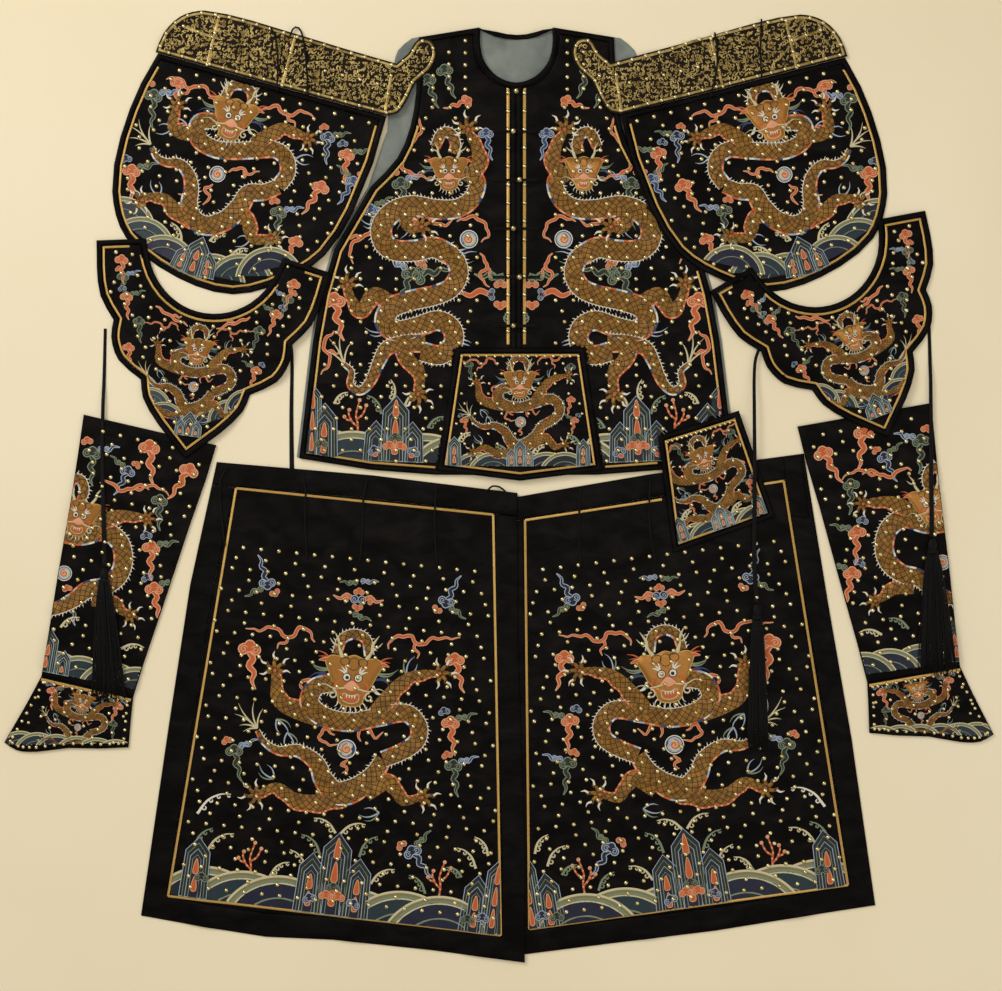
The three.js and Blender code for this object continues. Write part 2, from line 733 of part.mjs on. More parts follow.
// A tassel laid down: strands in fans on top of each other, fused at their roots to a knot.
function tassel(name, line, over, { length, spread, lean }) {
  const [x, y] = line.at(-1);
  const { layers, across, strand, head, neck } = TASSEL;
  const top = y - GAP - 1;
  const reach = [
    { x: x - spread, y: top - length },
    { x: x + spread, y: top - length },
    { x: x + spread, y: top },
    { x: x - spread, y: top },
  ];
  const bed = lay(reach, over, 0);
  const [tall, flat] = [1.25 * head, 0.7 * head];
  const knotZ = heightAt(bed, x, top - tall) + flat + SEAT;
  let body = solid(new THREE.SphereGeometry(head, 10, 6).scale(1, tall / head, flat / head));
  body = body.translate([x, top - tall, knotZ]);
  const steps = 2;
  for (let row = 0; row < layers; row += 1)
    for (let k = 0; k < across; k += 1) {
      const share = (k + (row % 2 ? 0.75 : 0.25)) / across - 0.5;
      const shorter = 5 * (k % 3) + 4 * row;
      const points = [];
      for (let s = 0; s <= steps; s += 1) {
        const t = s / steps;
        const px = x + lean * t + share * THREE.MathUtils.lerp(neck, spread, t ** 0.7);
        const py = top - tall - t * (length - tall - shorter);
        const lift = SEAT + strand * (0.5 + 1.1 * row) + 2 * (1 - t);
        points.push(new THREE.Vector3(px, py, heightAt(bed, px, py) + lift));
      }
      body = body.add(strandAlong(points, strand / 2));
    }
  add(name, silkCord, body);
}

// A three-sided strand through the given points, which run towards -Y.
function strandAlong(points, half) {
  const positions = [];
  points.forEach((p, i) => {
    const r = i === points.length - 1 ? half * 0.7 : half;
    positions.push(p.x - r, p.y, p.z - r, p.x + r, p.y, p.z - r, p.x, p.y, p.z + r);
  });
  const faces = [0, 2, 1];
  for (let i = 0; i < points.length - 1; i += 1)
    for (let k = 0; k < 3; k += 1) {
      const [a, b] = [3 * i + k, 3 * i + ((k + 1) % 3)];
      faces.push(a, b, a + 3, b, b + 3, a + 3);
    }
  const end = 3 * (points.length - 1);
  faces.push(end, end + 1, end + 2);
  const geometry = new THREE.BufferGeometry();
  geometry.setAttribute("position", new THREE.BufferAttribute(new Float32Array(positions), 3));
  geometry.setIndex(faces);
  return solid(geometry);
}

const tieLeftOuter = tie("left_outer", TIES.left_outer, [sleeveLeft]);
const tieRightOuter = tie("right_outer", TIES.right_outer, [sleeveRight]);
const tieRightInner = tie("right_inner", TIES.right_inner, [...vest, skirtRight, withBoundEdge(sideLayer)]);
tassel("tassel_left", TIES.left_outer, [sleeveLeft], TASSEL_SHAPES.left);
tassel("tassel_right", TIES.right_outer, [sleeveRight], TASSEL_SHAPES.right);
tassel("tassel_middle", TIES.right_inner, [skirtRight], TASSEL_SHAPES.middle);

// Armpit guards, over the ties, the shoulder guards, the coat and the sleeves

function armpitGuard(side, at, over) {
  const layer = lay(place(trace(bothHalves(ARMPIT_HALF)), at), over, CLOTH);
  boundPanel(`armpit_guard_${side}`, `armpit_binding_${side}`, layer);
}

const underLeft = [...vest, ...shoulderLeft, sleeveLeft, tieLeftOuter, tieLeftInner];
const underRight = [...vest, ...shoulderRight, sleeveRight, tieRightOuter, tieRightInner];
armpitGuard("left", PLACES.armpitLeft, underLeft);
armpitGuard("right", PLACES.armpitRight, underRight);

// Round cords, lying on the plates and the waistbands that they are sewn to

function cord(name, line, over) {
  const bed = lay(strip(line, CORD, CORD), over, 0);
  const flat = smoothLine(line);
  const steps = Math.ceil(flat.getLength() / (3 * CORD));
  const lift = CORD / 2 + SEAT;
  const path = new THREE.CatmullRomCurve3(
    flat.getSpacedPoints(steps).map((p) => new THREE.Vector3(p.x, p.y, heightAt(bed, p.x, p.y) + lift)),
    false,
    "centripetal",
  );
  const section = new THREE.Shape();
  const sides = 8;
  for (let k = 0; k < sides; k += 1) {
    const turn = (2 * Math.PI * k) / sides;
    const [x, y] = [(CORD / 2) * Math.cos(turn), (CORD / 2) * Math.sin(turn)];
    if (k === 0) section.moveTo(x, y);
    else section.lineTo(x, y);
  }
  const options = { steps, extrudePath: path, bevelEnabled: false };
  add(name, silkCord, solid(new THREE.ExtrudeGeometry(section, options)));
}

for (const [key, line] of Object.entries(SHOULDER_CORDS))
  cord(`shoulder_cord_${key}`, line, key.startsWith("left") ? shoulderLeft : shoulderRight);
for (const [key, line] of Object.entries(WAIST_CORDS))
  cord(`waist_cord_${key}`, line, [skirtLeft, skirtRight]);

// The origin is under the middle of the layout, on the surface that it lies on.
const box = new THREE.Box3();
for (const piece of group.children)
  if (!/^(guard_tie|tassel|shoulder_cord|waist_cord)/.test(piece.name)) box.expandByObject(piece, true);
const middle = box.getCenter(new THREE.Vector3());
for (const piece of group.children) piece.geometry.translate(-middle.x, -middle.y, 0);

export default group;
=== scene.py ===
import math

import bpy
import numpy as np
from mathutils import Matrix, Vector
from mathutils.geometry import delaunay_2d_cdt


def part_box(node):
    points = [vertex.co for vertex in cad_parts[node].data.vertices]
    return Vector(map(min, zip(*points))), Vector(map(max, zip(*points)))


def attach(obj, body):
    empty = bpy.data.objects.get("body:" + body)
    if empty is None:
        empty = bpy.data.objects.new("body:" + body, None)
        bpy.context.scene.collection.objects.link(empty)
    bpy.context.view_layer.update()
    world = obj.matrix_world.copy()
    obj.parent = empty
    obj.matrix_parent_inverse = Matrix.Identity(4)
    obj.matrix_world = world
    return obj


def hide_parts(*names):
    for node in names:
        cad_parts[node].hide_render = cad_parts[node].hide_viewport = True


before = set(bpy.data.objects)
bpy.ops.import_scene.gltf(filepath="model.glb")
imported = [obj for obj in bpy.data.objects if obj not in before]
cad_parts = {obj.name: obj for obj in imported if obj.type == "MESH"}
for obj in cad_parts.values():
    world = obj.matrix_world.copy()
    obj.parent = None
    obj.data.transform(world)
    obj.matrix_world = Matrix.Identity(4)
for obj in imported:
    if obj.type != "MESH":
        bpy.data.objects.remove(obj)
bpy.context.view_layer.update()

# Surface, light and camera.
# The suit lies on a pale cream board and is seen from straight above, in soft light from a large
# window at the upper left. All lengths below are in millimetres, and MM turns them to metres.
MM = 0.001
IMAGE = (1002, 991)
PIXEL = 1.65  # millimetres to an image pixel on the cloth
VIEW_CENTRE = (3.4, -14.3)
LENS = 85.0
SENSOR = 36.0
BOARD = 9000.0


def linear(code, share=1.0):
    """A colour from its sRGB hex code: each channel goes through the sRGB curve, times share."""
    parts = [int(code[k:k + 2], 16) / 255 for k in (1, 3, 5)]
    curve = [c / 12.92 if c <= 0.04045 else ((c + 0.055) / 1.055) ** 2.4 for c in parts]
    return (*(share * c for c in curve), 1.0)


def new_material(name):
    """An empty material with a principled shader: returns it, its tree and the shader."""
    material = bpy.data.materials.new(name)
    material.use_nodes = True
    tree = material.node_tree
    return material, tree, tree.nodes["Principled BSDF"]


def put(tree, kind, sockets=None, **settings):
    """Adds a node with its settings and sockets."""
    made = tree.nodes.new(kind)
    for key, value in settings.items():
        setattr(made, key, value)
    fill(made, sockets or {})
    return made


def fill(node, sockets):
    """Fills a node's sockets: each takes a value, or another node's output."""
    for key, value in sockets.items():
        if isinstance(value, bpy.types.NodeSocket):
            node.id_data.links.new(value, node.inputs[key])
        else:
            node.inputs[key].default_value = value


def dress(shader, **sockets):
    """Fills the shader's own sockets, with _ for a space in a socket's name."""
    fill(shader, {key.replace("_", " "): value for key, value in sockets.items()})


def clouded(tree, noise, span, dark, bright, place=None):
    """Soft clouds of two colours: a noise with its settings, over the object's own place or another,
    turned from dark to bright over a span of its values. Returns the noise and the colour."""
    place = place or put(tree, "ShaderNodeTexCoord").outputs["Object"]
    value = put(tree, "ShaderNodeTexNoise", {"Vector": place, **noise}).outputs["Fac"]
    ramp = put(tree, "ShaderNodeValToRGB", {"Fac": value})
    ends = ramp.color_ramp.elements
    ends[0].position, ends[1].position = span
    ends[0].color, ends[1].color = dark, bright
    return value, ramp.outputs["Color"]


def board_material():
    """Cream painted board: matt, with the faint cloudiness of a painted sheet."""
    material, tree, shader = new_material("cream painted board")
    _, colour = clouded(tree, {"Scale": 1.6, "Detail": 3.0}, (0.3, 0.7), linear("#ecdfc0"),
                        linear("#f1e6cb"))
    dress(shader, Base_Color=colour, Roughness=0.9, Specular_IOR_Level=0.2)
    return material


def mesh_object(name, points, blocks):
    """An object at the origin from points in millimetres and blocks of faces of one size each."""
    mesh = bpy.data.meshes.new(name)
    points = np.asarray(points, float) * MM
    sizes = np.concatenate([np.full(len(block), block.shape[1]) for block in blocks])
    corners = np.concatenate([block.ravel() for block in blocks])
    mesh.vertices.add(len(points))
    mesh.vertices.foreach_set("co", points.ravel())
    mesh.loops.add(len(corners))
    mesh.loops.foreach_set("vertex_index", corners.astype(np.int32))
    mesh.polygons.add(len(sizes))
    mesh.polygons.foreach_set("loop_start", np.concatenate([[0], np.cumsum(sizes)[:-1]]).astype(np.int32))
    mesh.polygons.foreach_set("use_smooth", np.full(len(sizes), True))
    mesh.update(calc_edges=True)
    piece = bpy.data.objects.new(name, mesh)
    bpy.context.scene.collection.objects.link(piece)
    return piece


board_corners = np.array([(-1, -1, 0), (1, -1, 0), (1, 1, 0), (-1, 1, 0)]) * BOARD / 2 - (0, 0, 0.05)
board = mesh_object("board", board_corners, [np.array([[0, 1, 2, 3]])])
board.data.materials.append(board_material())

camera_data = bpy.data.cameras.new("camera")
camera_data.lens = LENS
camera_data.sensor_width = SENSOR
camera_data.clip_end = 50.0
camera = bpy.data.objects.new("camera", camera_data)
bpy.context.scene.collection.objects.link(camera)
CAMERA_HEIGHT = IMAGE[0] * PIXEL * LENS / SENSOR
camera.location = (VIEW_CENTRE[0] * MM, VIEW_CENTRE[1] * MM, CAMERA_HEIGHT * MM)
bpy.context.scene.camera = camera


def area_light(name, place, size, power, colour):
    """A square soft light at place, in metres, turned to the middle of the suit."""
    data = bpy.data.lights.new(name, "AREA")
    data.size, data.energy, data.color = size, power, colour
    light = bpy.data.objects.new(name, data)
    light.location = place
    light.rotation_euler = (Vector() - Vector(place)).to_track_quat("-Z", "Y").to_euler()
    bpy.context.scene.collection.objects.link(light)


area_light("window", (-2.6, 2.4, 2.9), 1.8, 92.0, (1.0, 0.985, 0.95))
area_light("wall", (2.9, -1.6, 3.0), 2.6, 30.0, (1.0, 0.97, 0.93))
area_light("ceiling", (0.0, 0.4, 4.6), 3.0, 46.0, (1.0, 0.98, 0.95))
world = bpy.data.worlds.new("room")
world.use_nodes = True
world.node_tree.nodes["Background"].inputs["Color"].default_value = linear("#f3ead8")
world.node_tree.nodes["Background"].inputs["Strength"].default_value = 0.42
bpy.context.scene.world = world
bpy.context.scene.view_settings.view_transform = "Standard"


# Skirt.
# Two overlapping aprons of padded black satin. Each has a quilted field, a plain satin border on
# three sides and a waistband, all sewn edge to edge.
FACING = 0.3  # least share of a face's normal that points up or down


def faces_of(name, side):
    """Corners, in millimetres, of a frame node's triangles that face up (side 1) or down (-1)."""
    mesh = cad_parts[name].data
    places = np.empty(len(mesh.vertices) * 3)
    mesh.vertices.foreach_get("co", places)
    mesh.calc_loop_triangles()
    corners = np.empty(len(mesh.loop_triangles) * 3, np.int32)
    mesh.loop_triangles.foreach_get("vertices", corners)
    tris = places.reshape(-1, 3)[corners].reshape(-1, 3, 3) / MM
    normals = np.cross(tris[:, 1] - tris[:, 0], tris[:, 2] - tris[:, 0])
    return tris[side * normals[:, 2] > FACING * np.linalg.norm(normals, axis=1)]


RASTER = 3.0  # spacing of the grid on which heights are kept
MARGIN = 12  # its cells beyond a piece's edge


def height_field(names, side=1, soften=2):
    """Height of the named nodes' upper (side 1) or under (-1) faces as a function of x and y.

    Each triangle's plane z = a x + b y + c fills the grid points inside it. Points outside take the
    mean of their filled neighbours, and the grid is softened by a small three by three mean."""
    tris = np.concatenate([faces_of(name, side) for name in names])
    low = tris[..., :2].min((0, 1)) - MARGIN * RASTER
    count = np.ceil((tris[..., :2].max((0, 1)) + MARGIN * RASTER - low) / RASTER).astype(int) + 1
    grid = np.full(count, np.nan)
    for a, b, c in tris:
        corner = np.array([a, b, c])
        start = np.maximum(np.ceil((corner[:, :2].min(0) - low) / RASTER).astype(int), 0)
        stop = np.floor((corner[:, :2].max(0) - low) / RASTER).astype(int) + 1
        if (stop <= start).any():
            continue
        gx, gy = np.meshgrid(*(low[k] + RASTER * np.arange(start[k], stop[k]) for k in (0, 1)),
                             indexing="ij")
        area = (b[0] - a[0]) * (c[1] - a[1]) - (c[0] - a[0]) * (b[1] - a[1])
        if abs(area) < 1e-6:
            continue
        v = ((gx - a[0]) * (c[1] - a[1]) - (c[0] - a[0]) * (gy - a[1])) / area
        w = ((b[0] - a[0]) * (gy - a[1]) - (gx - a[0]) * (b[1] - a[1])) / area
        z = a[2] + v * (b[2] - a[2]) + w * (c[2] - a[2])
        z[(v < -1e-3) | (w < -1e-3) | (v + w > 1.001)] = np.nan
        window = grid[start[0]:stop[0], start[1]:stop[1]]
        window[:] = side * np.fmax(side * window, side * z)
    for _ in range(MARGIN + 4):
        grid = spread(grid)
    grid = np.where(np.isnan(grid), np.nanmin(grid), grid)
    for _ in range(soften):
        grid = sum(neighbourhood(grid, mode="edge")) / 9

    def height(x, y):
        u = np.clip((np.asarray(x, float) - low[0]) / RASTER, 0, count[0] - 1.001)
        v = np.clip((np.asarray(y, float) - low[1]) / RASTER, 0, count[1] - 1.001)
        i, j = u.astype(int), v.astype(int)
        s, t = u - i, v - j
        return ((1 - s) * (1 - t) * grid[i, j] + s * (1 - t) * grid[i + 1, j]
                + (1 - s) * t * grid[i, j + 1] + s * t * grid[i + 1, j + 1])

    return height


def neighbourhood(grid, **edge):
    """The nine copies of a grid that are moved by up to one cell each way."""
    padded = np.pad(grid, 1, **edge)
    rows, columns = grid.shape
    return [padded[i:i + rows, j:j + columns] for i in range(3) for j in range(3)]


def spread(grid):
    """Fills the empty cells beside filled ones with the mean of their filled neighbours."""
    around = np.stack(neighbourhood(grid, constant_values=np.nan))
    known = ~np.isnan(around)
    mean = np.where(known, around, 0).sum(0) / np.maximum(known.sum(0), 1)
    return np.where(np.isnan(grid) & known.any(0), mean, grid)


def rims_of(name):
    """The plan outline of a frame node's top, then those of its holes: the edges that one face uses. The
    material lies to the left of each."""
    tris = faces_of(name, 1)
    flat, index = np.unique(np.round(tris.reshape(-1, 3)[:, :2], 2), axis=0, return_inverse=True)
    corners = index.reshape(-1, 3)
    edges = np.concatenate([corners[:, [0, 1]], corners[:, [1, 2]], corners[:, [2, 0]]])
    used = {(a, b) for a, b in edges.tolist()}
    follow = {}
    for a, b in used:
        if (b, a) not in used:
            follow.setdefault(a, []).append(b)
    loops = []
    while follow:
        at = next(iter(follow))
        loop = []
        while at in follow:
            loop.append(at)
            onward = follow[at].pop()
            if not follow[at]:
                del follow[at]
            at = onward
        loops.append(flat[loop])
    loops.sort(key=signed_area, reverse=True)
    return [loops[0], *(loop for loop in loops if signed_area(loop) < -60.0)]


def signed_area(p):
    """Area inside a closed outline, by the shoelace formula."""
    q = np.roll(p, -1, axis=0)
    return 0.5 * float((p[:, 0] * q[:, 1] - q[:, 0] * p[:, 1]).sum())


def divided(p, spacing):
    """A closed outline with points added so that no side is longer than spacing."""
    q = np.roll(p, -1, axis=0)
    counts = np.maximum(np.ceil(np.linalg.norm(q - p, axis=1) / spacing).astype(int), 1)
    return np.concatenate([a + (b - a) * np.arange(n)[:, None] / n for a, b, n in zip(p, q, counts)])


def edge_distance(points, p):
    """Distance of each point to a closed outline, less than zero outside it."""
    q = np.roll(p, -1, axis=0)
    result = np.empty(len(points))
    for start in range(0, len(points), 2000):
        at = points[start:start + 2000, None]
        along = ((at - p) * (q - p)).sum(2) / np.maximum(((q - p) ** 2).sum(1), 1e-9)
        near = p + np.clip(along, 0, 1)[..., None] * (q - p)
        away = np.sqrt(((at - near) ** 2).sum(2)).min(1)
        crosses = (p[:, 1] > at[..., 1]) != (q[:, 1] > at[..., 1])
        rise = np.where(np.abs(q[:, 1] - p[:, 1]) < 1e-9, 1e-9, q[:, 1] - p[:, 1])
        left = at[..., 0] < (q[:, 0] - p[:, 0]) * (at[..., 1] - p[:, 1]) / rise + p[:, 0]
        inside = (crosses & left).sum(1) % 2 == 1
        result[start:start + 2000] = np.where(inside, away, -away)
    return result


def clearance(points, rims):
    """Distance of each point to the nearest edge of a sheet with holes, less than zero off the sheet."""
    return np.min([edge_distance(points, rims[0]), *(-edge_distance(points, hole) for hole in rims[1:])],
                  axis=0)


def inset(p, by):
    """A closed outline moved to its left, less the points that come too near its old line."""
    ahead = np.roll(p, -1, axis=0) - p
    long = np.maximum(np.linalg.norm(ahead, axis=1), 1e-9)[:, None]
    normal = np.stack([-ahead[:, 1], ahead[:, 0]], 1) / long
    both = normal + np.roll(normal, 1, axis=0)
    both /= np.maximum((both * normal).sum(1), 0.5)[:, None]
    moved = p + by * both
    return moved[np.abs(edge_distance(moved, p)) > 0.97 * by]


def net(rims, spacing, rings):
    """Points and triangles of a sheet: its rims, their inset rings and a staggered grid. Also gives where
    each rim point went."""
    low, high = rims[0].min(0), rims[0].max(0)
    rows = np.arange(low[1], high[1] + spacing, spacing)
    columns = np.arange(low[0], high[0] + spacing, spacing)
    gx, gy = np.meshgrid(columns, rows)
    gx = gx + spacing / 2 * (np.arange(len(rows)) % 2)[:, None]
    inner = np.stack([gx.ravel(), gy.ravel()], 1)
    inner = inner[clearance(inner, rims) > (max(rings) if rings else 0) + 0.55 * spacing]
    points = np.concatenate([*rims, *(inset(rim, by) for by in rings for rim in rims), inner])
    starts = np.cumsum([0, *(len(rim) for rim in rims)])
    sides = [(a + k, a + (k + 1) % (b - a)) for a, b in zip(starts[:-1], starts[1:]) for k in range(b - a)]
    sides = [(int(a), int(b)) for a, b in sides]
    places, _, faces, origins, _, _ = delaunay_2d_cdt([Vector(p) for p in points.tolist()], sides, [],
                                                      1, 1e-5)
    where = np.full(starts[-1], -1)
    for new, old in enumerate(origins):
        for k in old:
            if k < starts[-1]:
                where[k] = new
    places, faces = np.array([(p.x, p.y) for p in places]), np.array([f[:3] for f in faces])
    if len(rims) > 1:
        faces = faces[clearance(places[faces].mean(1), rims) > 0]
    return places, faces, [where[a:b] for a, b in zip(starts[:-1], starts[1:])]


NET = 6.5  # spacing of the cloth's points
UNDER_NET = 30.0  # and of its underside's
EDGE_RINGS = (0.7, 2.2)  # insets of the lines of points that round its edge
FADE = 8.0  # width along the edge in which its relief dies away


def rounded_edge(away, radius, drop):
    """How far the cloth's top sinks at its edge: drop (1 - sqrt(1 - (1 - away / radius)^2))."""
    share = np.clip(1 - away / radius, 0, 1)
    return drop * (1 - np.sqrt(1 - share ** 2))


def cloth(name, rims, top, under, material, relief=None, radius=2.6, drop=1.1, spacing=NET):
    """A cloth wall with a closed skin: its upper side at top(x, y) + relief(x, y), its underside at
    under(x, y), and its edge rounded."""
    rims = [divided(rim, spacing) for rim in rims]
    upper, upper_faces, upper_rims = net(rims, spacing, EDGE_RINGS)
    lower, lower_faces, lower_rims = net(rims, UNDER_NET, ())
    x, y = upper.T
    away = np.maximum(clearance(upper, rims), 0)
    z = top(x, y) - rounded_edge(away, radius, drop)
    if relief:
        z = z + relief(x, y) * np.clip(away / FADE, 0, 1)
    points = np.concatenate([np.column_stack([upper, z]), np.column_stack([lower, under(*lower.T)])])
    shift = len(upper)
    sides = [np.stack([low + shift, np.roll(low, -1) + shift, np.roll(high, -1), high], 1)
             for low, high in zip(lower_rims, upper_rims)]
    piece = mesh_object(name, points, [upper_faces, lower_faces[:, ::-1] + shift, *sides])
    piece.data.materials.append(material)
    return piece


def satin_material(name, code, sheen, puckers):
    """Black silk satin: float threads lie along x, so the light draws out across them, and the
    wadding puckers it between the stitches. Its colour is painted lighter on the puckers' crowns, a painted
    highlight, and darker in their hollows, a painted shade. The threads are drawn at 0.6 mm to show at all."""
    material, tree, shader = new_material(name)
    place = put(tree, "ShaderNodeTexCoord").outputs["Object"]
    wide = put(tree, "ShaderNodeMapping", {"Vector": place, "Scale": (1.0, 1.8, 1.0)})
    noise = {"Scale": 19.0, "Detail": 3.0, "Roughness": 0.5, "Distortion": 0.6}
    # The pucker cloud sets the colour from 0.35 to 1.7 times its code: painted highlight where the folds
    # rise, painted shade where they sink.
    cloud, colour = clouded(tree, noise, (0.38, 0.72), linear(code, 0.35), linear(code, 1.7),
                            wide.outputs["Vector"])
    shine = put(tree, "ShaderNodeMapRange", {"Value": cloud, "From Min": 0.3, "From Max": 0.7,
                                             "To Min": 0.52, "To Max": 0.36})
    thread = put(tree, "ShaderNodeMapping", {"Vector": place, "Scale": (240.0, 1600.0, 600.0)})
    weave = put(tree, "ShaderNodeTexNoise", {"Vector": thread.outputs["Vector"], "Scale": 1.0,
                                             "Detail": 1.0})
    fine = put(tree, "ShaderNodeBump", {"Height": weave.outputs["Fac"], "Strength": 0.18,
                                        "Distance": 0.0003})
    folds = put(tree, "ShaderNodeBump", {"Height": cloud, "Strength": puckers, "Distance": 0.006,
                                         "Normal": fine.outputs["Normal"]})
    dress(shader, Base_Color=colour, Roughness=shine.outputs["Result"], Normal=folds.outputs["Normal"],
          Sheen_Weight=sheen, Sheen_Roughness=0.35, Sheen_Tint=linear("#6b5b4a"),
          Specular_IOR_Level=0.05)
    return material


FIELD_SATIN = satin_material("quilted black satin", "#0b0807", 0.01, 0.2)
PLAIN_SATIN = satin_material("plain black satin", "#0a0808", 0.015, 0.15)
SKIRT_CREASES = {  # ends of each soft trough (below 0) or ridge in the cloth, its half width and height
    "skirt_border_left": [(-560, -560, -590, -640, 16, 1.0), (-520, -200, -548, -330, 12, 0.8),
                          (-300, -738, -250, -742, 14, 0.9), (-120, -760, -60, -768, 16, 1.0),
                          (-430, -738, -400, -744, 12, -0.7), (20, -300, 22, -420, 12, 0.8)],
    "skirt_border_right": [(560, -260, 580, -380, 13, 0.9), (600, -560, 615, -640, 14, -0.7),
                           (120, -758, 190, -750, 15, 1.0), (330, -735, 400, -725, 14, 0.8),
                           (470, -712, 520, -706, 12, -0.8), (14, -500, 16, -620, 10, 0.8)],
    "skirt_waistband_left": [(-400, 18, -330, 10, 10, 0.8), (-250, 4, -160, -6, 10, -0.7),
                             (-120, -14, -60, -18, 9, 0.8)],
    "skirt_waistband_right": [(80, -14, 150, -6, 10, 0.8), (220, 0, 300, 8, 10, -0.8),
                              (380, 20, 440, 30, 9, 0.8)],
    "skirt_field_left": [(-420, -110, -300, -100, 18, 0.9), (-260, -80, -120, -100, 16, 0.8),
                         (-90, -120, -10, -100, 14, -0.8), (-430, -150, -340, -170, 14, -0.7)],
    "skirt_field_right": [(60, -90, 160, -75, 18, 0.9), (200, -110, 330, -85, 16, 0.8),
                          (300, -150, 400, -120, 14, -0.8), (400, -60, 470, -90, 14, 0.7)],
}


def creases(rows):
    """Height of soft troughs and ridges: each row adds h exp(-(d / w)^2) round the line between its
    two ends, where d is the distance to it."""
    def relief(x, y):
        total = np.zeros_like(x)
        for ax, ay, bx, by, wide, high in rows:
            length = (bx - ax) ** 2 + (by - ay) ** 2
            t = np.clip(((x - ax) * (bx - ax) + (y - ay) * (by - ay)) / length, 0, 1)
            away = (x - ax - t * (bx - ax)) ** 2 + (y - ay - t * (by - ay)) ** 2
            total = total + high * np.exp(-away / wide ** 2)
        return total
    return relief


def quilting(x, y):
    """Soft swell of the wadding between its stitches: 0.28 mm, on crossed waves of 37 and 31 mm."""
    across = np.sin(2 * np.pi * (x / 37 + 0.2 * np.sin(y / 40)))
    down = np.sin(2 * np.pi * (y / 31 + 0.2 * np.sin(x / 50)))
    return 0.28 * across * down


outlines = {}
surfaces = {}


def blunted(rims, top):
    """Rims whose points above a height are drawn in towards it: y = top + 6 tanh((y - top) / 10)."""
    y = [np.where(rim[:, 1] > top, top + 6 * np.tanh((rim[:, 1] - top) / 10), rim[:, 1]) for rim in rims]
    return [np.column_stack([rim[:, 0], high]) for rim, high in zip(rims, y)]


def lay_cloth(name, material, rows=(), quilted=False, slot="satin", soften=2, ceiling=2000.0, **shape):
    """Makes a cloth piece that stands for one node of the frame, and keeps its outline and surface."""
    rims = blunted(rims_of(name), ceiling)
    top, under = height_field([name], 1, soften), height_field([name], -1, soften)
    crease = creases(rows)

    def relief(x, y):
        return crease(x, y) + (quilting(x, y) if quilted else 0)

    piece = cloth(f"{name}_cloth", rims, top, under, material, relief, **shape)
    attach(piece, "root")
    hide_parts(name)
    outlines[name] = rims[0]
    surfaces[name] = lambda x, y: top(x, y) + relief(x, y)
    declare_cut(rims)


def declare_cut(rims):
    cut = sum(signed_area(rim) for rim in rims) * MM * MM
    width, length = ((rims[0].max(0) - rims[0].min(0)) * MM).tolist()
    if cut < 0.45 * width * length:
        around = sum(float(np.linalg.norm(np.roll(rim, -1, axis=0) - rim, axis=1).sum())
                     for rim in rims) * MM
        width, length = max(2 * cut / around, 0.0101), around / 2


for side in ("right", "left"):
    lay_cloth(f"skirt_field_{side}", FIELD_SATIN, SKIRT_CREASES[f"skirt_field_{side}"], quilted=True)
    for part in ("border", "waistband"):
        rows = SKIRT_CREASES[f"skirt_{part}_{side}"]
        lay_cloth(f"skirt_{part}_{side}", PLAIN_SATIN, rows, slot="plain_satin")
lay_cloth("waist_tab", PLAIN_SATIN, slot="plain_satin", spacing=4.0)


# Coat.
# A sleeveless coat of padded black satin: one back, lined in blue-grey cotton that shows at the neck
# and armholes, and two fronts that meet edge to edge, all bound in plain satin.
def cotton_material():
    """Blue-grey cotton lining: plain weave, matt and creased; its colour is painted darker in the
    crease hollows as painted shade and lighter on their crests as painted highlight.
    """
    material, tree, shader = new_material("blue-grey cotton lining")
    place = put(tree, "ShaderNodeTexCoord").outputs["Object"]
    noise = {"Scale": 22.0, "Detail": 4.0, "Distortion": 0.7}
    # One cloud gives both the colour and the crease bump: painted shade in the hollows, painted highlight
    # on the crests.
    cloud, colour = clouded(tree, noise, (0.3, 0.7), linear("#666e6b"), linear("#828781"), place)
    weave = put(tree, "ShaderNodeTexNoise", {"Vector": place, "Scale": 900.0, "Detail": 1.0})
    fine = put(tree, "ShaderNodeBump", {"Height": weave.outputs["Fac"], "Strength": 0.25,
                                        "Distance": 0.0004})
    folds = put(tree, "ShaderNodeBump", {"Height": cloud, "Strength": 0.35, "Distance": 0.01,
                                         "Normal": fine.outputs["Normal"]})
    dress(shader, Base_Color=colour, Normal=folds.outputs["Normal"], Roughness=0.88,
          Specular_IOR_Level=0.25, Sheen_Weight=0.2)
    return material


COTTON = cotton_material()
BOUND = {"radius": 4.6, "drop": 2.2, "spacing": 4.0}  # a folded strip, round on its outer side
COAT_CREASES = [(-150, 330, -120, 220, 16, 0.8), (150, 250, 190, 140, 16, 0.8),
                (-230, 120, -180, 60, 14, -0.7),
                (240, 60, 270, 0, 14, 0.7), (-60, 480, -58, 360, 10, 0.6), (110, 480, 112, 380, 10, 0.6)]
lay_cloth("vest_back", COTTON, [(-5, 668, 60, 672, 12, 0.8), (20, 690, 50, 655, 9, -0.6)], slot="lining")
for side in ("left", "right"):
    lay_cloth(f"vest_front_{side}", FIELD_SATIN, COAT_CREASES, quilted=True)
    lay_cloth(f"vest_binding_{side}", PLAIN_SATIN, slot="plain_satin", **BOUND)
lay_cloth("neck_binding", PLAIN_SATIN, slot="plain_satin", ceiling=750.0, radius=4.0, drop=2.4, spacing=3.0)


# Flaps.
# Two small bound panels: one hangs before the coat's opening, the other at one hip.
for name in ("front_flap", "side_flap"):
    lay_cloth(name, FIELD_SATIN, quilted=True)
    lay_cloth(f"{name}_binding", PLAIN_SATIN, slot="plain_satin", **BOUND)


# Sleeves.
# Each is a tube of padded satin folded flat, with a flared cuff of the same cloth.
for side in ("left", "right"):
    lay_cloth(f"sleeve_{side}", FIELD_SATIN, quilted=True)
    lay_cloth(f"cuff_{side}", FIELD_SATIN, quilted=True)


# Shoulder guards.
# Half-round bound panels of padded satin.
for side in ("left", "right"):
    lay_cloth(f"shoulder_guard_{side}", FIELD_SATIN, quilted=True, soften=12)
    lay_cloth(f"shoulder_binding_{side}", PLAIN_SATIN, slot="plain_satin", soften=6, **BOUND)


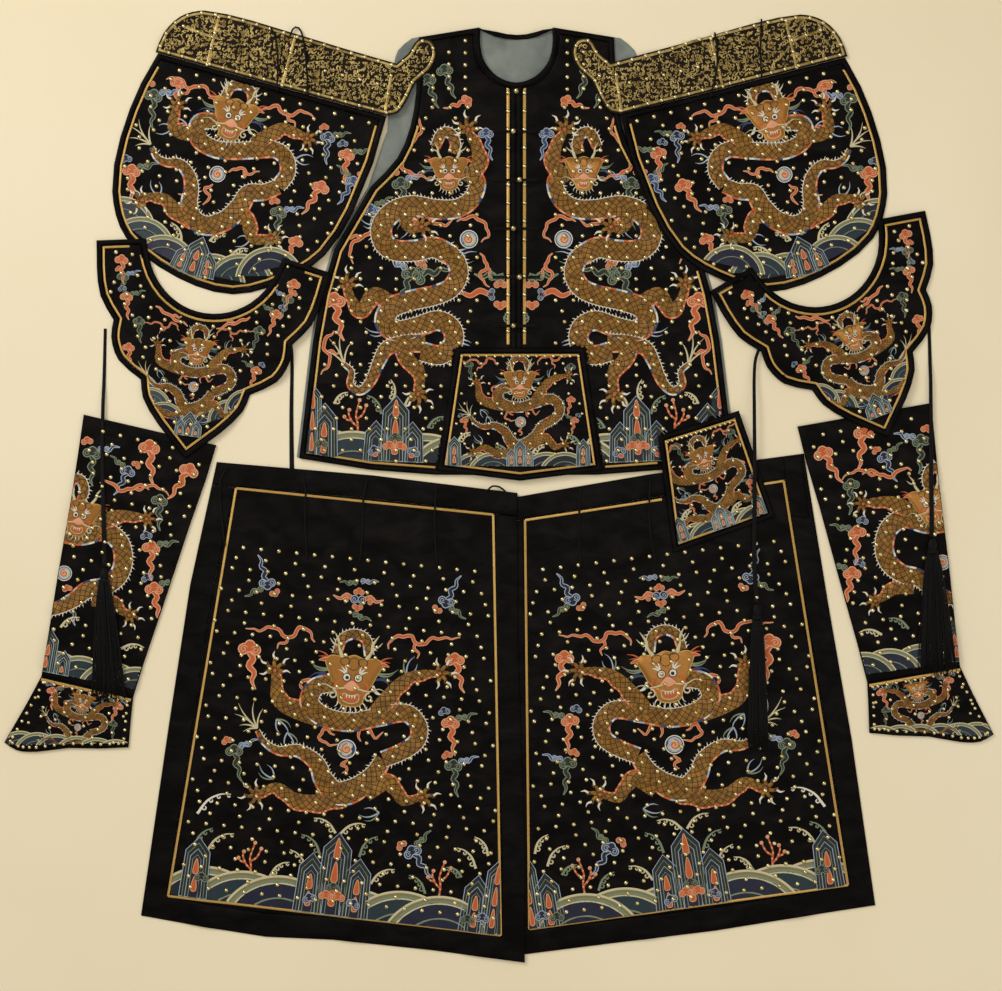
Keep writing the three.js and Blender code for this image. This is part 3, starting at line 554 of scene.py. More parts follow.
# Armpit guards.
# Cloud-shaped bound panels of padded satin with a notch for the arm.
for side in ("left", "right"):
    lay_cloth(f"armpit_guard_{side}", FIELD_SATIN, quilted=True, soften=10)
    lay_cloth(f"armpit_binding_{side}", PLAIN_SATIN, slot="plain_satin", soften=6, **BOUND)


# Embroidery.
# Raised satin stitch in coloured floss, outlined in pale thread, and gold thread couched down in
# scales, all worked through the field of each panel before it was bound.
FLOSS, SCALES, COUCHED = 0, 1, 2
LEVEL = 0.16  # height from one layer of stitches to the next
LIFT = 0.12  # and of the lowest over the cloth
THREAD = {
    "coral": "#c25c29", "peach": "#dea079", "blue": "#2c3d66", "pale_blue": "#a0afc2", "navy": "#0e1530",
    "green": "#19231d", "sage": "#7a866a", "cream": "#cdc39c", "white": "#e6e0d0", "ochre": "#8a6128",
    "gold": "#c9a55c", "black": "#0e0c0a", "slate": "#111c25", "teal": "#182d37", "brown": "#3d2713",
    "olive": "#7d7650", "tan": "#a87530",
}


def thread_material(name, wave, bands, tint, relief, **finish):
    """Thread in the colour of its stitches, darkened by a tint in rows that the wave draws, and
    raised between them."""
    material, tree, shader = new_material(name)
    colour = put(tree, "ShaderNodeAttribute", attribute_name="thread")
    uv = put(tree, "ShaderNodeUVMap", uv_map="stitch")
    rows = put(tree, "ShaderNodeTexWave", {"Vector": uv.outputs["UV"], **wave}, bands_direction=bands)
    mixed = put(tree, "ShaderNodeMix", {0: rows.outputs["Fac"], 6: colour.outputs["Color"], 7: tint},
                data_type="RGBA", blend_type="MULTIPLY")
    bump = put(tree, "ShaderNodeBump", {"Height": rows.outputs["Fac"], **relief})
    dress(shader, Base_Color=mixed.outputs[2], Normal=bump.outputs["Normal"], **finish)
    return material


SCALE = 8.2  # side of a scale


def scale_material():
    """Gold thread couched in rows and crossed by dark stitches, SCALE apart, that draw the scales."""
    material, tree, shader = new_material("couched gold scales")
    uv = put(tree, "ShaderNodeUVMap", uv_map="stitch")
    turned = put(tree, "ShaderNodeMapping", {"Vector": uv.outputs["UV"],
                                             "Scale": (1 / SCALE, 1 / SCALE, 1.0),
                                             "Rotation": (0, 0, math.radians(45))})
    axes = put(tree, "ShaderNodeSeparateXYZ", {"Vector": turned.outputs["Vector"]})
    nets = []
    for axis in ("X", "Y"):
        part = put(tree, "ShaderNodeMath", {0: axes.outputs[axis], 1: 0.5}, operation="PINGPONG")
        nets.append(put(tree, "ShaderNodeMapRange",
                        {"Value": part.outputs[0], "From Min": 0.03, "From Max": 0.11}))
    cell = put(tree, "ShaderNodeMath", {0: nets[0].outputs[0], 1: nets[1].outputs[0]}, operation="MINIMUM")
    _, gold = clouded(tree, {"Scale": 120.0, "Detail": 3.0}, (0.35, 0.68), linear("#6e4b18"),
                      linear("#a3742a"))
    both = put(tree, "ShaderNodeMix", {0: cell.outputs[0], 6: linear("#22160a"), 7: gold},
               data_type="RGBA")
    threads = put(tree, "ShaderNodeTexWave", {"Vector": uv.outputs["UV"], "Scale": 0.3, "Distortion": 0.6},
                  bands_direction="Y")
    height = put(tree, "ShaderNodeMath", {0: cell.outputs[0], 1: threads.outputs["Fac"]},
                 operation="MULTIPLY")
    bump = put(tree, "ShaderNodeBump", {"Height": height.outputs[0], "Strength": 0.5, "Distance": 0.0006})
    dress(shader, Base_Color=both.outputs[2], Normal=bump.outputs["Normal"], Roughness=0.5,
          Metallic=0.2, Specular_IOR_Level=0.3)
    return material


# Untwisted silk floss in satin stitch is glossy, with fine ridges across each shape; the stitches are
# drawn 1 mm apart to show at all. Pairs of gilt paper thread are laid side by side and stitched
# down: bright, with a fine twist.
FLOSS_SILK = thread_material(
    "silk floss in satin stitch", {"Scale": 0.32, "Distortion": 1.2}, "X", (0.82, 0.82, 0.82, 1),
    {"Strength": 0.35, "Distance": 0.0004}, Roughness=0.42, Specular_IOR_Level=0.3, Sheen_Weight=0.08)
GILT_THREAD = thread_material(
    "couched gilt thread", {"Scale": 0.22, "Distortion": 2.0}, "DIAGONAL", (0.66, 0.56, 0.4, 1),
    {"Strength": 0.5, "Distance": 0.0005}, Roughness=0.38, Metallic=0.55)
THREADS = [FLOSS_SILK, scale_material(), GILT_THREAD]


def turned(points, at, turn=0.0, size=1.0, flip=False):
    """Points of a frame of their own, flipped left to right, sized, turned and moved."""
    p = np.asarray(points, float) * size * np.array([-1.0 if flip else 1.0, 1.0])
    c, s = math.cos(math.radians(turn)), math.sin(math.radians(turn))
    return np.column_stack([c * p[:, 0] - s * p[:, 1] + at[0], s * p[:, 0] + c * p[:, 1] + at[1]])


def run_of(line):
    """Distance along a line to each of its points."""
    return np.concatenate([[0], np.cumsum(np.linalg.norm(np.diff(line, axis=0), axis=1))])


def values_at(at, run, values):
    """Values kept along a line, such as its points, at other distances along it."""
    return np.column_stack([np.interp(at, run, column) for column in values.T])


def smooth(path, step, closed=False):
    """Points at even steps on a Catmull-Rom curve through the path's points."""
    p = np.asarray(path, float)
    ends = (p[-1:], p[:2]) if closed else (2 * p[:1] - p[1:2], 2 * p[-1:] - p[-2:-1])
    q = np.concatenate([ends[0], p, ends[1]])
    a, b, c, d = q[:-3], q[1:-2], q[2:-1], q[3:]
    t = np.linspace(0, 1, 14, endpoint=False)[None, :, None]
    a, b, c, d = (v[:, None] for v in (a, b, c, d))
    curve = 0.5 * (2 * b + (c - a) * t + (2 * a - 5 * b + 4 * c - d) * t ** 2
                   + (3 * b - a - 3 * c + d) * t ** 3)
    curve = np.concatenate([curve.reshape(-1, 2), q[-2:-1]])
    run = run_of(curve)
    count = max(int(round(run[-1] / step)), 2)
    even = values_at(np.linspace(0, run[-1], count + 1), run, curve)
    return even[:-1] if closed else even


def normals_of(line):
    """Unit normals to the left of a line."""
    tangent = np.gradient(line, axis=0)
    tangent /= np.maximum(np.linalg.norm(tangent, axis=1), 1e-9)[:, None]
    return np.column_stack([-tangent[:, 1], tangent[:, 0]])


RAISED_CELL, RAISED_HALF = 5.0, 1000.0  # a cell of the grid of stitch heights, and half its extent
raised_grid = np.zeros((int(2 * RAISED_HALF / RAISED_CELL),) * 2)


def raised(x, y):
    """How high the stitches stand over the cloth within about 5 mm of each point."""
    i, j = (np.floor((np.asarray(v, float) + RAISED_HALF) / RAISED_CELL).astype(int) for v in (x, y))
    return np.max([raised_grid[i + a, j + b] for a in (-1, 0, 1) for b in (-1, 0, 1)], axis=0)


def pulled_in(points, fence):
    """Moves the points outside a closed line to the nearest place on it."""
    out = edge_distance(points, fence) < 0
    way = np.roll(fence, -1, axis=0) - fence
    gap = points[out, None] - fence
    near = fence + np.clip((gap * way).sum(2) / np.maximum((way ** 2).sum(1), 1e-9), 0, 1)[..., None] * way
    points[out] = near[np.arange(out.sum()), ((points[out, None] - near) ** 2).sum(2).argmin(1)]


class Needlework:
    """Gathers the raised stitches of one panel. Each motif is worked in a frame of its own."""

    def __init__(self, node, at=(0, 0), turn=0.0, size=1.0, flip=False, within=None):
        self.node, self.frame, self.within = node, (at, turn, size, flip), within
        self.flipped = flip != (within.flipped if within else False)
        self.base = within.base if within else 0
        self.clips = within.clips if within else []
        self.store = within.store if within else {
            "points": [], "lifts": [], "blocks": [], "tones": [], "uvs": [], "kinds": [], "count": 0}

    def at(self, x, y, turn=0.0, size=1.0, flip=False):
        """A frame within this one."""
        return Needlework(self.node, (x, y), turn, size, flip, self)

    def place(self, points):
        """Points of this frame in the layout."""
        points = turned(points, *self.frame)
        return self.within.place(points) if self.within else points

    def add(self, plan, lift, faces, colours, uv, kind):
        """Puts a block of points and faces on the panel's surface. One colour, or one for each face."""
        world, store = self.place(plan), self.store
        faces = faces[:, ::-1] if self.flipped else faces
        middles = world[faces].mean(1)
        shown = ~hidden(self.node, middles)
        for fence in self.clips:
            shown &= edge_distance(middles, fence) > 0
            pulled_in(world, fence)
        faces = faces[shown]
        lift = lift + LIFT + LEVEL * self.base
        store["points"].append(np.column_stack([world, surfaces[self.node](*world.T) + lift]))
        store["lifts"].append(lift)
        store["blocks"].append(faces + store["count"])
        colours = [colours] if isinstance(colours, str) else colours
        tones = np.array([linear(THREAD[c]) for c in colours])[np.arange(len(faces)) % len(colours)]
        store["tones"].append(np.repeat(tones, faces.shape[1], axis=0))
        store["uvs"].append(uv[faces.ravel()])
        store["kinds"].append(np.full(len(faces), kind))
        store["count"] += len(plan)

    def band(self, line, half, colours, high=0.5, level=0, kind=FLOSS, across=3):
        """A crowned band along a line: its height is high (1 - o^2), o from -1 to 1 across it."""
        n = len(line)
        half = np.broadcast_to(half, n)
        o = np.linspace(-1, 1, across)
        plan = line[:, None] + (half[:, None] * o)[..., None] * normals_of(line)[:, None]
        uv = np.stack([np.broadcast_to(run_of(line)[:, None], (n, across)), half[:, None] * o], -1)
        lift = np.broadcast_to(LEVEL * level + high * (1 - o ** 2), (n, across))
        i, k = np.meshgrid(np.arange(n - 1), np.arange(across - 1), indexing="ij")
        at = (i * across + k).ravel()
        faces = np.column_stack([at, at + across, at + across + 1, at + 1])
        if not isinstance(colours, str):
            colours = [colours[j] for j in np.repeat(np.arange(n - 1) % len(colours), across - 1)]
        self.add(plan.reshape(-1, 2), lift.ravel(), faces, colours, uv.reshape(-1, 2), kind)

    def ribbon(self, path, widths, colours, high=0.5, level=0, kind=FLOSS, across=3, step=3.0, edging=None,
               rim=1.1):
        """A band through the path's points, with widths spread along it, and thin edgings if given."""
        line = smooth(path, step)
        half = np.interp(np.linspace(0, 1, len(line)), np.linspace(0, 1, len(widths)), widths) / 2
        self.band(line, half, colours, high, level, kind, across)
        if edging:
            for side in (-1, 1):
                edge = line + side * half[:, None] * normals_of(line)
                self.band(edge, rim / 2, edging, 0.35, level + 1)
        return line, half

    def patch(self, rim, colours, high=0.3, level=0, spacing=9.0, edging=None, kind=FLOSS, width=1.3):
        """A filled shape inside a closed line, with a raised edging if given."""
        rim = rim if signed_area(rim) > 0 else rim[::-1]
        points, faces, _ = net([divided(rim, 5.0)], spacing, ())
        away = np.maximum(edge_distance(points, rim), 0)
        lift = LEVEL * level + high * np.minimum(away / 1.5, 1)
        self.add(points, lift, faces, colours, points, kind)
        if edging:
            self.loop(rim, width, edging, level + 1)

    def loop(self, rim, width, colours, level, high=0.35, kind=FLOSS):
        """A closed thin band."""
        line = np.concatenate([rim, rim[:2]])
        self.band(line, width / 2, colours, high, level, kind)

    def finish(self, name):
        """Joins all stitches into one piece that rides with the suit."""
        store = self.store
        points = np.concatenate(store["points"])
        used, order = np.unique(np.concatenate([block.ravel() for block in store["blocks"]]),
                                return_inverse=True)
        ends = np.cumsum([block.size for block in store["blocks"]])[:-1]
        parts = zip(np.split(order.ravel(), ends), store["blocks"])
        blocks = [part.reshape(block.shape) for part, block in parts]
        cells = tuple(np.floor((points[used, :2] + RAISED_HALF) / RAISED_CELL).astype(int).T)
        np.maximum.at(raised_grid, cells, np.concatenate(store["lifts"])[used])
        piece = mesh_object(name, points[used], blocks)
        mesh = piece.data
        tones = mesh.color_attributes.new("thread", "FLOAT_COLOR", "CORNER")
        tones.data.foreach_set("color", np.concatenate(store["tones"]).ravel())
        layer = mesh.uv_layers.new(name="stitch")
        layer.data.foreach_set("uv", np.concatenate(store["uvs"]).ravel())
        for material in THREADS:
            mesh.materials.append(material)
        mesh.polygons.foreach_set("material_index", np.concatenate(store["kinds"]).astype(np.int32))
        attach(piece, "root")
        return piece


def arc(centre, radius, start, stop, step=2.5):
    """Points on an arc between two angles in degrees; the radius may change along it."""
    first, last = (radius, radius) if np.isscalar(radius) else radius
    long = abs(math.radians(stop - start)) * (first + last) / 2
    t = np.linspace(0, 1, max(int(long / step), 5))
    r, a = first + (last - first) * t, np.radians(start + (stop - start) * t)
    return np.column_stack([centre[0] + r * np.cos(a), centre[1] + r * np.sin(a)])


RIM_ONLY = 40.0  # a spacing at which a small shape has no points but its rim's
HUES = {  # fill and outline of a cloud
    "coral": ("coral", "peach"), "blue": ("blue", "pale_blue"), "navy": ("navy", "pale_blue"),
    "green": ("green", "sage"),
}


def cloud_head(work, hue="coral"):
    """A cloud head: a round middle lobe over two lobes that curl inwards as spirals."""
    fill, line = HUES[hue]
    lobes = (arc((6.5, 0), 5.6, 210, 430, 1.8), arc((0, 4.5), 5.6, 20, 160, 1.8),
             arc((-6.5, 0), 5.6, 110, 330, 1.8))
    work.patch(np.concatenate(lobes), fill, 0.35, 1, RIM_ONLY, edging=line, width=1.5)
    for side in (-1, 1):
        start, stop = (150, -300) if side > 0 else (30, 480)
        work.band(arc((6.2 * side, 0), (4.4, 1.0), start, stop, 1.8), 0.6, line, 0.3, 3)


def cloud_heads(work, size, rows):
    """Cloud heads of one size: each row is x, y, turn and hue."""
    for x, y, turn, hue in rows:
        cloud_head(work.at(x, y, turn, size), hue)


def cloud_tail(work, path, hue="coral", wide=6.5):
    """A cloud's tail: a wavy band that tapers to a point, with pale edges."""
    fill, line = HUES[hue]
    work.ribbon(path, (wide * 0.8, wide, wide * 0.8, wide * 0.55, 0.6), fill, 0.3, edging=line, rim=1.3)


def cloud(work, hue="coral"):
    """A cloud head with one wavy tail."""
    cloud_tail(work, ((0, -3), (5, -10), (1, -18), (8, -25), (6, -34), (11, -43)), hue)
    cloud_head(work, hue)


def wisp(work, hue="green"):
    """A flat cloud: two curls on a wavy band."""
    cloud_tail(work, ((0, 0), (8, 4), (15, -1), (23, 4), (33, 1)), hue, 5.5)
    fill, line = HUES[hue]
    for x, y, r in ((4, 4, 4.6), (13, 3, 3.8)):
        work.patch(arc((x, y), r, 0, 345), fill, 0.3, 1, RIM_ONLY, edging=line)
        work.band(arc((x, y), (r * 0.7, 0.6), -60, 400, 1.5), 0.55, line, 0.3, 3)


def cloud_group(work, hues=("navy", "coral", "green")):
    """A large cloud with a tail, a small head above it and a wisp beside it."""
    main, small, beside = hues
    wisp(work.at(9, 4, 25, 0.9), beside)
    cloud(work, main)
    cloud_head(work.at(-10, 15, 20, 0.66), small)


def both_sides(work):
    """This frame and its mirror image."""
    return work, work.at(0, 0, flip=True)


def cloud_cross(work):
    """Clouds in a cross: coral heads round a pair of navy curls, with wisps above and below."""
    wisp(work.at(-4, 22, 0, 0.8, True), "green")
    wisp(work.at(2, 25, 8, 0.8), "navy")
    wisp(work.at(-6, -25, -12, 0.9), "green")
    for arm in both_sides(work):
        cloud_tail(arm, ((8, 0), (18, 5), (27, -1), (38, 3)), "coral", 6)
        cloud_head(arm.at(18, 1, -90, 0.6), "coral")
        arm.patch(arc((5.5, 0), 5.8, 0, 345), "navy", 0.3, 2, RIM_ONLY, edging="pale_blue")
        arm.band(arc((5.5, 0), (4, 0.6), 200, 640, 1.5), 0.55, "pale_blue", 0.3, 4)
    cloud_heads(work, 0.66, ((0, 11, 0, "coral"), (0, -11, 180, "coral")))


def flame(work, path, wide=4.4, forks=()):
    """A ribbon of flame that tapers at both ends, with forks: each is a share of its length, a turn
    in degrees and a length."""
    wide, way = wide * 1.15, smooth(path, 7.5)
    way = way + 1.7 * np.sin(2.1 * np.arange(len(way)))[:, None] * normals_of(way)
    widths = (1.0, wide, wide, wide * 0.9, wide * 0.7, 0.5)
    line, _ = work.ribbon(way, widths, "coral", 0.45, 1, edging="peach", rim=1.2)
    way = np.gradient(line, axis=0)
    for share, turn, long in forks:
        k = int(share * (len(line) - 1))
        heading = math.degrees(math.atan2(way[k, 1], way[k, 0])) + turn
        bend = math.copysign(0.16 * long, turn)
        fork = ((0, 0), (long * 0.35, bend), (long * 0.7, -bend * 0.4), (long, bend * 0.8))
        widths = (wide * 0.8, wide * 0.7, 0.5)
        work.at(*line[k], heading).ribbon(fork, widths, "coral", 0.4, 1, edging="peach", rim=1.2)


PEARL = 15.0  # radius


def pearl(work):
    """A flaming pearl: rings of blue, cream and coral round a spiral."""
    for share, hue, level in ((1.0, "blue", 1), (0.84, "pale_blue", 2), (0.66, "cream", 3),
                              (0.4, "peach", 4)):
        work.patch(arc((0, 0), PEARL * share, 0, 350), hue, 0.3, level, RIM_ONLY)
    work.band(arc((0, 0), (PEARL * 0.6, 1.0), 90, 600, 2.0), 0.9, "coral", 0.4, 6)
    work.loop(arc((0, 0), PEARL, 0, 350), 1.6, "white", 3)


def strands(work, aims, hue, wide=2.0, level=3):
    """Tapered strands of hair from one root: each aim is an angle, a length and a sideways bend."""
    for angle, long, bend in aims:
        hair = ((0, 0), (long * 0.35, bend), (long * 0.7, bend * 1.1), (long, bend * 0.2))
        work.at(0, 0, angle).ribbon(hair, (wide, wide, wide * 0.7, 0.4), hue, 0.4, level)


SPIKE_PITCH = 6.0


def spine(work, line, half, side):
    """A row of white spikes along one edge of a body, over a thin white band."""
    normal = normals_of(line) * side
    edge = line + half[:, None] * normal
    work.band(edge, 0.6, "white", 0.4, 7)
    run = run_of(edge)
    at = np.arange(3, run[-1] - 3, SPIKE_PITCH)
    base, out = values_at(at, run, edge), values_at(at, run, normal)
    along = np.column_stack([out[:, 1], -out[:, 0]]) * side
    long = 3.4 + 3.0 * (np.arange(len(at)) % 3 == 0)
    tip = base + long[:, None] * (out + 0.45 * along)
    corners = np.stack([base - 1.3 * along, base + 1.3 * along, tip], 1).reshape(-1, 2)
    faces = np.arange(len(corners)).reshape(-1, 3)
    work.add(corners, np.tile([1.7, 1.7, 1.5], len(at)), faces[:, ::-1] if side > 0 else faces, "white",
             corners, FLOSS)


BELLY = [hue for hue in ("coral", "peach", "coral", "pale_blue", "white", "blue") for _ in range(3)]


def body(work, path, widths, side, level=3):
    """A dragon's body: a band of gold scales, spikes on one side and a striped belly on the other."""
    line, half = work.ribbon(path, widths, "ochre", 1.6, level, SCALES, across=7)
    spine(work, line, half, side)
    work.band(line - side * half[:, None] * normals_of(line), 1.5, BELLY, 0.6, level + 3)


def foot(work):
    """A five-toed foot: a gold palm and toes that spread from it, each with a curved white claw."""
    work.patch(arc((0, 0), 7.5, 0, 340), "ochre", 1.0, 4, 12.0, kind=SCALES)
    work.patch(arc((0, 0), 2.6, 0, 340), "coral", 0.4, 9, 12.0)
    for angle, long in ((-100, 13), (-50, 17), (0, 18), (50, 17), (100, 13)):
        toe = work.at(0, 0, angle)
        toe.ribbon(((3, 0), (long * 0.6, 1.8), (long, -0.5)), (5.8, 4.6, 5.0), "ochre", 1.0, 5, SCALES,
                   across=5)
        toe.ribbon(((long - 2, 0.5), (long + 3, 3.4), (long + 9, 1.6)), (3.4, 2.6, 0.4), "white", 0.7,
                   8, step=2.0)


def limb(work, path, widths, frill, toes, level=4, size=1.0):
    """A leg of gold scales with a wavy coral frill along one side and a foot turned to its toes."""
    line, half = work.ribbon(path, widths, "ochre", 1.5, level, SCALES, across=7)
    wave = 1.4 * np.sin(np.arange(len(line)) * 3.0 / 5.5)
    edge = line + frill * (half + 0.6 + wave)[:, None] * normals_of(line)
    work.band(edge, 1.5, ("coral", "coral", "peach"), 0.6, level + 3)
    ahead = line[-1] + 4 * (line[-1] - line[-2]) / np.linalg.norm(line[-1] - line[-2])
    foot(work.at(*ahead, toes, 1.2 * size))


def dragon_head(work):
    """A dragon's head from the front: brow, cheeks, muzzle, eyes, horns, mane, whiskers and beard."""
    for half in both_sides(work):
        for angle, long, bend, hue, y in ((38, 32, 5, "coral", 15), (14, 36, -5, "sage", 12),
                                          (-12, 34, 6, "blue", 0),
                                          (-30, 22, -4, "white", -8)):
            strands(half.at(31, y, angle), ((0, long, bend), (-11, long * 0.8, bend)), hue, 3.0, 4)
        half.ribbon(((17, 28), (24, 42), (25, 52), (33, 66)), (6.0, 5.0, 4.0, 0.8), "cream", 0.9, 8,
                    across=5)
        half.ribbon(((24, 45), (33, 49), (39, 56)), (3.2, 2.6, 0.6), "cream", 0.7, 8)
        half.ribbon(((30, 16), (41, 24), (52, 22)), (9, 7, 0.8), "coral", 0.8, 8, across=5, edging="peach")
    cheek = [(-13, -30), (-21, -20), (-29, -8), (-35, 6), (-42, 22), (-34, 31), (-14, 30), (0, 34)]
    face = smooth(cheek + [(-x, y) for x, y in cheek[-2::-1]], 3.0, closed=True)
    work.patch(face, "tan", 2.0, 9, 5.0, edging="gold", kind=COUCHED)
    for x, y, wide, tall in ((0, 21, 8, 9), (-13, 24, 7, 6), (13, 24, 7, 6)):
        work.loop(arc((0, 0), 1.0, 0, 350, 0.3) * (wide, tall) + (x, y), 1.1, "brown", 22)
    for half in both_sides(work):
        half.patch(arc((8.5, 1), 5.8, 0, 345, 1.5), "white", 0.5, 24, RIM_ONLY, edging="brown")
        half.patch(arc((8, 0.5), 2.7, 0, 340, 1.2), "black", 0.4, 28, RIM_ONLY)
        for angle in (25, 50, 75):
            half.at(9, 5, angle).ribbon(((3, 0), (9, 1), (14, 0)), (1.8, 2.4, 0.5), "white", 0.6, 25)
        half.ribbon(((15, -4), (24, -10), (21, -20), (12, -27)), (2.4, 4.0, 3.6, 1.0), "coral", 0.6, 23)
        half.band(arc((27, -26), (7, 1.5), 90, 490, 1.8), 1.2, "cream", 0.5, 24)
        half.ribbon(((10, -15), (26, -17), (40, -12), (52, -16)), (2.6, 2.2, 1.6, 0.5), "cream", 0.5, 25)
    jaw = smooth([(-17, -18), (-18, -34), (-9, -41), (9, -41), (18, -34), (17, -18), (0, -21)], 2.5,
                 closed=True)
    work.patch(jaw, "tan", 1.2, 17, 5.0, edging="gold", kind=COUCHED)
    nose = smooth([(-8, -8), (-12, -14), (0, -19), (12, -14), (8, -8), (0, -3)], 2.0, closed=True)
    work.patch(nose, "peach", 0.9, 23, 5.0, edging="coral")
    mouth = smooth([(-11, -23), (-11, -33), (0, -37), (11, -33), (11, -23), (0, -26)], 2.0, closed=True)
    work.patch(mouth, "coral", 0.5, 23, 5.0, edging="cream")
    for x in (-6, -2, 2, 6):
        work.ribbon(((x, -24.5), (x, -29.5)), (2.6, 0.8), "white", 0.5, 26, step=2.0)
    for x in (-18, -12, -6, 0, 6, 12, 18):
        strands(work.at(x, -41 + abs(x) * 0.35, -90 + 1.6 * x), ((0, 14 - abs(x) * 0.2, 1.5),), "white",
                1.8, 12)


CURLS = 4  # on a spray's back


def spray(work, root, tip, hue):
    """A cresting wave: a tapering stem that bends over, with a row of curls along its back."""
    reach = np.subtract(tip, root)
    long, heading = float(np.hypot(*reach)), math.degrees(math.atan2(reach[1], reach[0]))
    part = work.at(*root, heading, 1.0)
    side = -1 if reach[0] > 0 else 1
    path = ((0, 0), (long * 0.4, -side * long * 0.14), (long * 0.75, -side * long * 0.1),
            (long, side * long * 0.05))
    line, _ = part.ribbon(path, (4.4, 3.6, 2.6, 1.2), hue, 0.5, 2)
    normal = normals_of(line) * side
    for k in range(CURLS):
        at = int((k + 1) / CURLS * (len(line) - 2))
        radius = 4.2 - 0.4 * k
        centre = line[at] + normal[at] * radius
        facing = math.degrees(math.atan2(-normal[at, 1], -normal[at, 0]))
        part.band(arc(centre, (radius, radius * 0.45), facing, facing - side * 290, 1.6), 1.1, hue, 0.5, 3)


CORAL_HEIGHT = 62.0


def coral_branch(work):
    """A branch of coral: a stem with forks that end in round buds."""
    forks = (((0, 0), (1, 0.35), (-2, 0.6), (4, 1.0)), ((0, 0.3), (-8, 0.42), (-14, 0.62), (-13, 0.74)),
             ((0, 0.5), (8, 0.6), (12, 0.72), (15, 0.86)), ((-9, 0.45), (-17, 0.48), (-21, 0.56)))
    for fork in forks:
        path = [(x, CORAL_HEIGHT * y) for x, y in fork]
        work.ribbon(path, (3.4, 3.0, 2.6), ("coral", "coral", "peach"), 0.7, 2)
        work.patch(arc(path[-1], 3.2, 0, 340, 1.6), "peach", 0.6, 4, RIM_ONLY)


WATERS = ("slate", "teal", "navy")  # middles of waves that lie on each other
WAVE_RADIUS = 110.0  # of the wave that the widths of the rings are given for
RINGS = ((1.0, "cream", 2.6), (0.97, "olive", 4.0), (0.93, "sage", 4.0), (0.895, "cream", 1.8),
         (0.66, "sage", 2.0),
         (0.63, "navy", 3.0))


def wave(work, radius, sink, layer):
    """A rounded wave on its base line y = 0: rings of cream, olive, sage and navy thread over a
    filled middle. Its centre lies sink under the line."""
    low = math.degrees(math.asin(sink / radius))
    level = 3 * layer
    work.patch(arc((0, -sink), radius, low, 180 - low), WATERS[layer % 3], 0.3, 1 + level, 7.0)
    for share, hue, wide in RINGS:
        r = radius * share
        if sink < 0.96 * r:
            low = math.degrees(math.asin(sink / r))
            work.band(arc((0, -sink), r, low, 180 - low, 3.0), wide * radius / WAVE_RADIUS, hue, 0.4,
                      2 + level)


def mountain(work, tall, wide, cores=2):
    """A pointed rock in nested bands of slate, green and navy with pale edges, round coral cores."""
    bands = (("slate", "pale_blue"), ("green", "sage"), ("slate", "pale_blue"), ("navy", "sage"))
    for k, (fill, line) in enumerate(bands):
        half, top = wide / 2 - k * wide * 0.11, tall - k * wide * 0.24
        shoulder = top - half * 1.15
        if shoulder > 0:
            rim = [(-half * 1.15, 0), (half * 1.15, 0), (half, shoulder), (0, top), (-half, shoulder)]
            work.patch(np.array(rim, float), fill, 0.3, 16 + 2 * k, 14.0, edging=line)
    for k in range(cores):
        low = tall * (0.12 + 0.29 * k)
        core = np.array([(-0.1 * wide, 0), (0.1 * wide, 0), (0.09 * wide, 0.12 * tall), (0, 0.24 * tall),
                         (-0.09 * wide, 0.12 * tall)]) + (0, low)
        work.patch(smooth(core, 2.0, closed=True), "coral", 0.5, 24, RIM_ONLY, edging="peach")


def coiled_dragon(work):
    """A dragon seen from the front, coiled in an S under its head, round a flaming pearl."""
    flames = (((-68, 53), (-82, 72), (-96, 73), (-109, 55), (-124, 62), (-139, 71), (-161, 63), (-184, 65)),
              ((54, 54), (56, 69), (72, 77), (89, 78), (105, 65), (123, 78), (146, 81), (170, 84)))
    for path, turn in zip(flames, (35, -35)):
        flame(work, path, 4.4, ((0.45, turn, 26),))
    pearl(work.at(2, -117))
    for path in (((-20, -96), (-38, -88), (-44, -104), (-30, -112), (-12, -112)),
                 ((24, -102), (18, -84), (34, -76), (44, -94), (60, -84)),
                 ((6, -134), (-4, -142), (6, -148), (0, -158))):
        flame(work, path, 3.6)
    flame(work, ((-60, -30), (-72, -8), (-84, -22), (-66, -36)), 3.8)
    strands(work.at(-148, -98, 140), ((-62, 34, 3), (-38, 44, 4), (-8, 52, 3), (14, 44, -3),
                                      (38, 30, -3), (60, 24, -2)), "cream", 2.6)
    tufts = ((-118, -80, -50), (-112, -178, 140), (66, -216, 190), (88, 14, 70), (-98, -100, -70))
    for x, y, turn in tufts:
        strands(work.at(x, y, turn), ((0, 34, 5), (-16, 26, -4)), "pale_blue", 2.4)
        strands(work.at(x, y, turn + 22), ((0, 28, 5),), "sage", 2.6)
    body(work, ((-30, 37), (-24, 62), (-5, 73), (16, 66), (24, 40)), (15, 16, 16, 15), 1, 2)
    limb(work, ((-45, -70), (-85, -62), (-116, -48), (-124, -22), (-128, -4)), (32, 30, 28, 22, 12), -1,
         92, 2)
    body(work, ((64, -128), (48, -158), (19, -184), (-9, -190), (-31, -170), (-45, -145), (-76, -128),
                (-109, -131), (-134, -119), (-147, -101)), (26, 32, 40, 34, 26, 20, 12, 7), -1, 3)
    limb(work, ((6, -196), (-41, -211), (-76, -209), (-106, -193), (-134, -205)), (30, 30, 26, 20, 11),
         1, 190, 2)
    limb(work, ((40, -186), (70, -166), (90, -176), (104, -192), (130, -185)), (30, 28, 24, 18, 10), 1,
         12, 2)
    body(work, ((-20, -10), (-58, -20), (-66, -48), (-40, -68), (4, -72), (46, -60), (92, -48),
                (116, -66), (116, -92), (94, -112), (64, -128)), (26, 30, 32, 30, 30, 28, 27, 26), 1, 4)
    limb(work, ((40, -62), (62, -26), (88, 6), (115, 18), (138, 22)), (30, 28, 24, 18, 10), -1, 0, 6)
    dragon_head(work.at(0, 0, 0, 1.12))


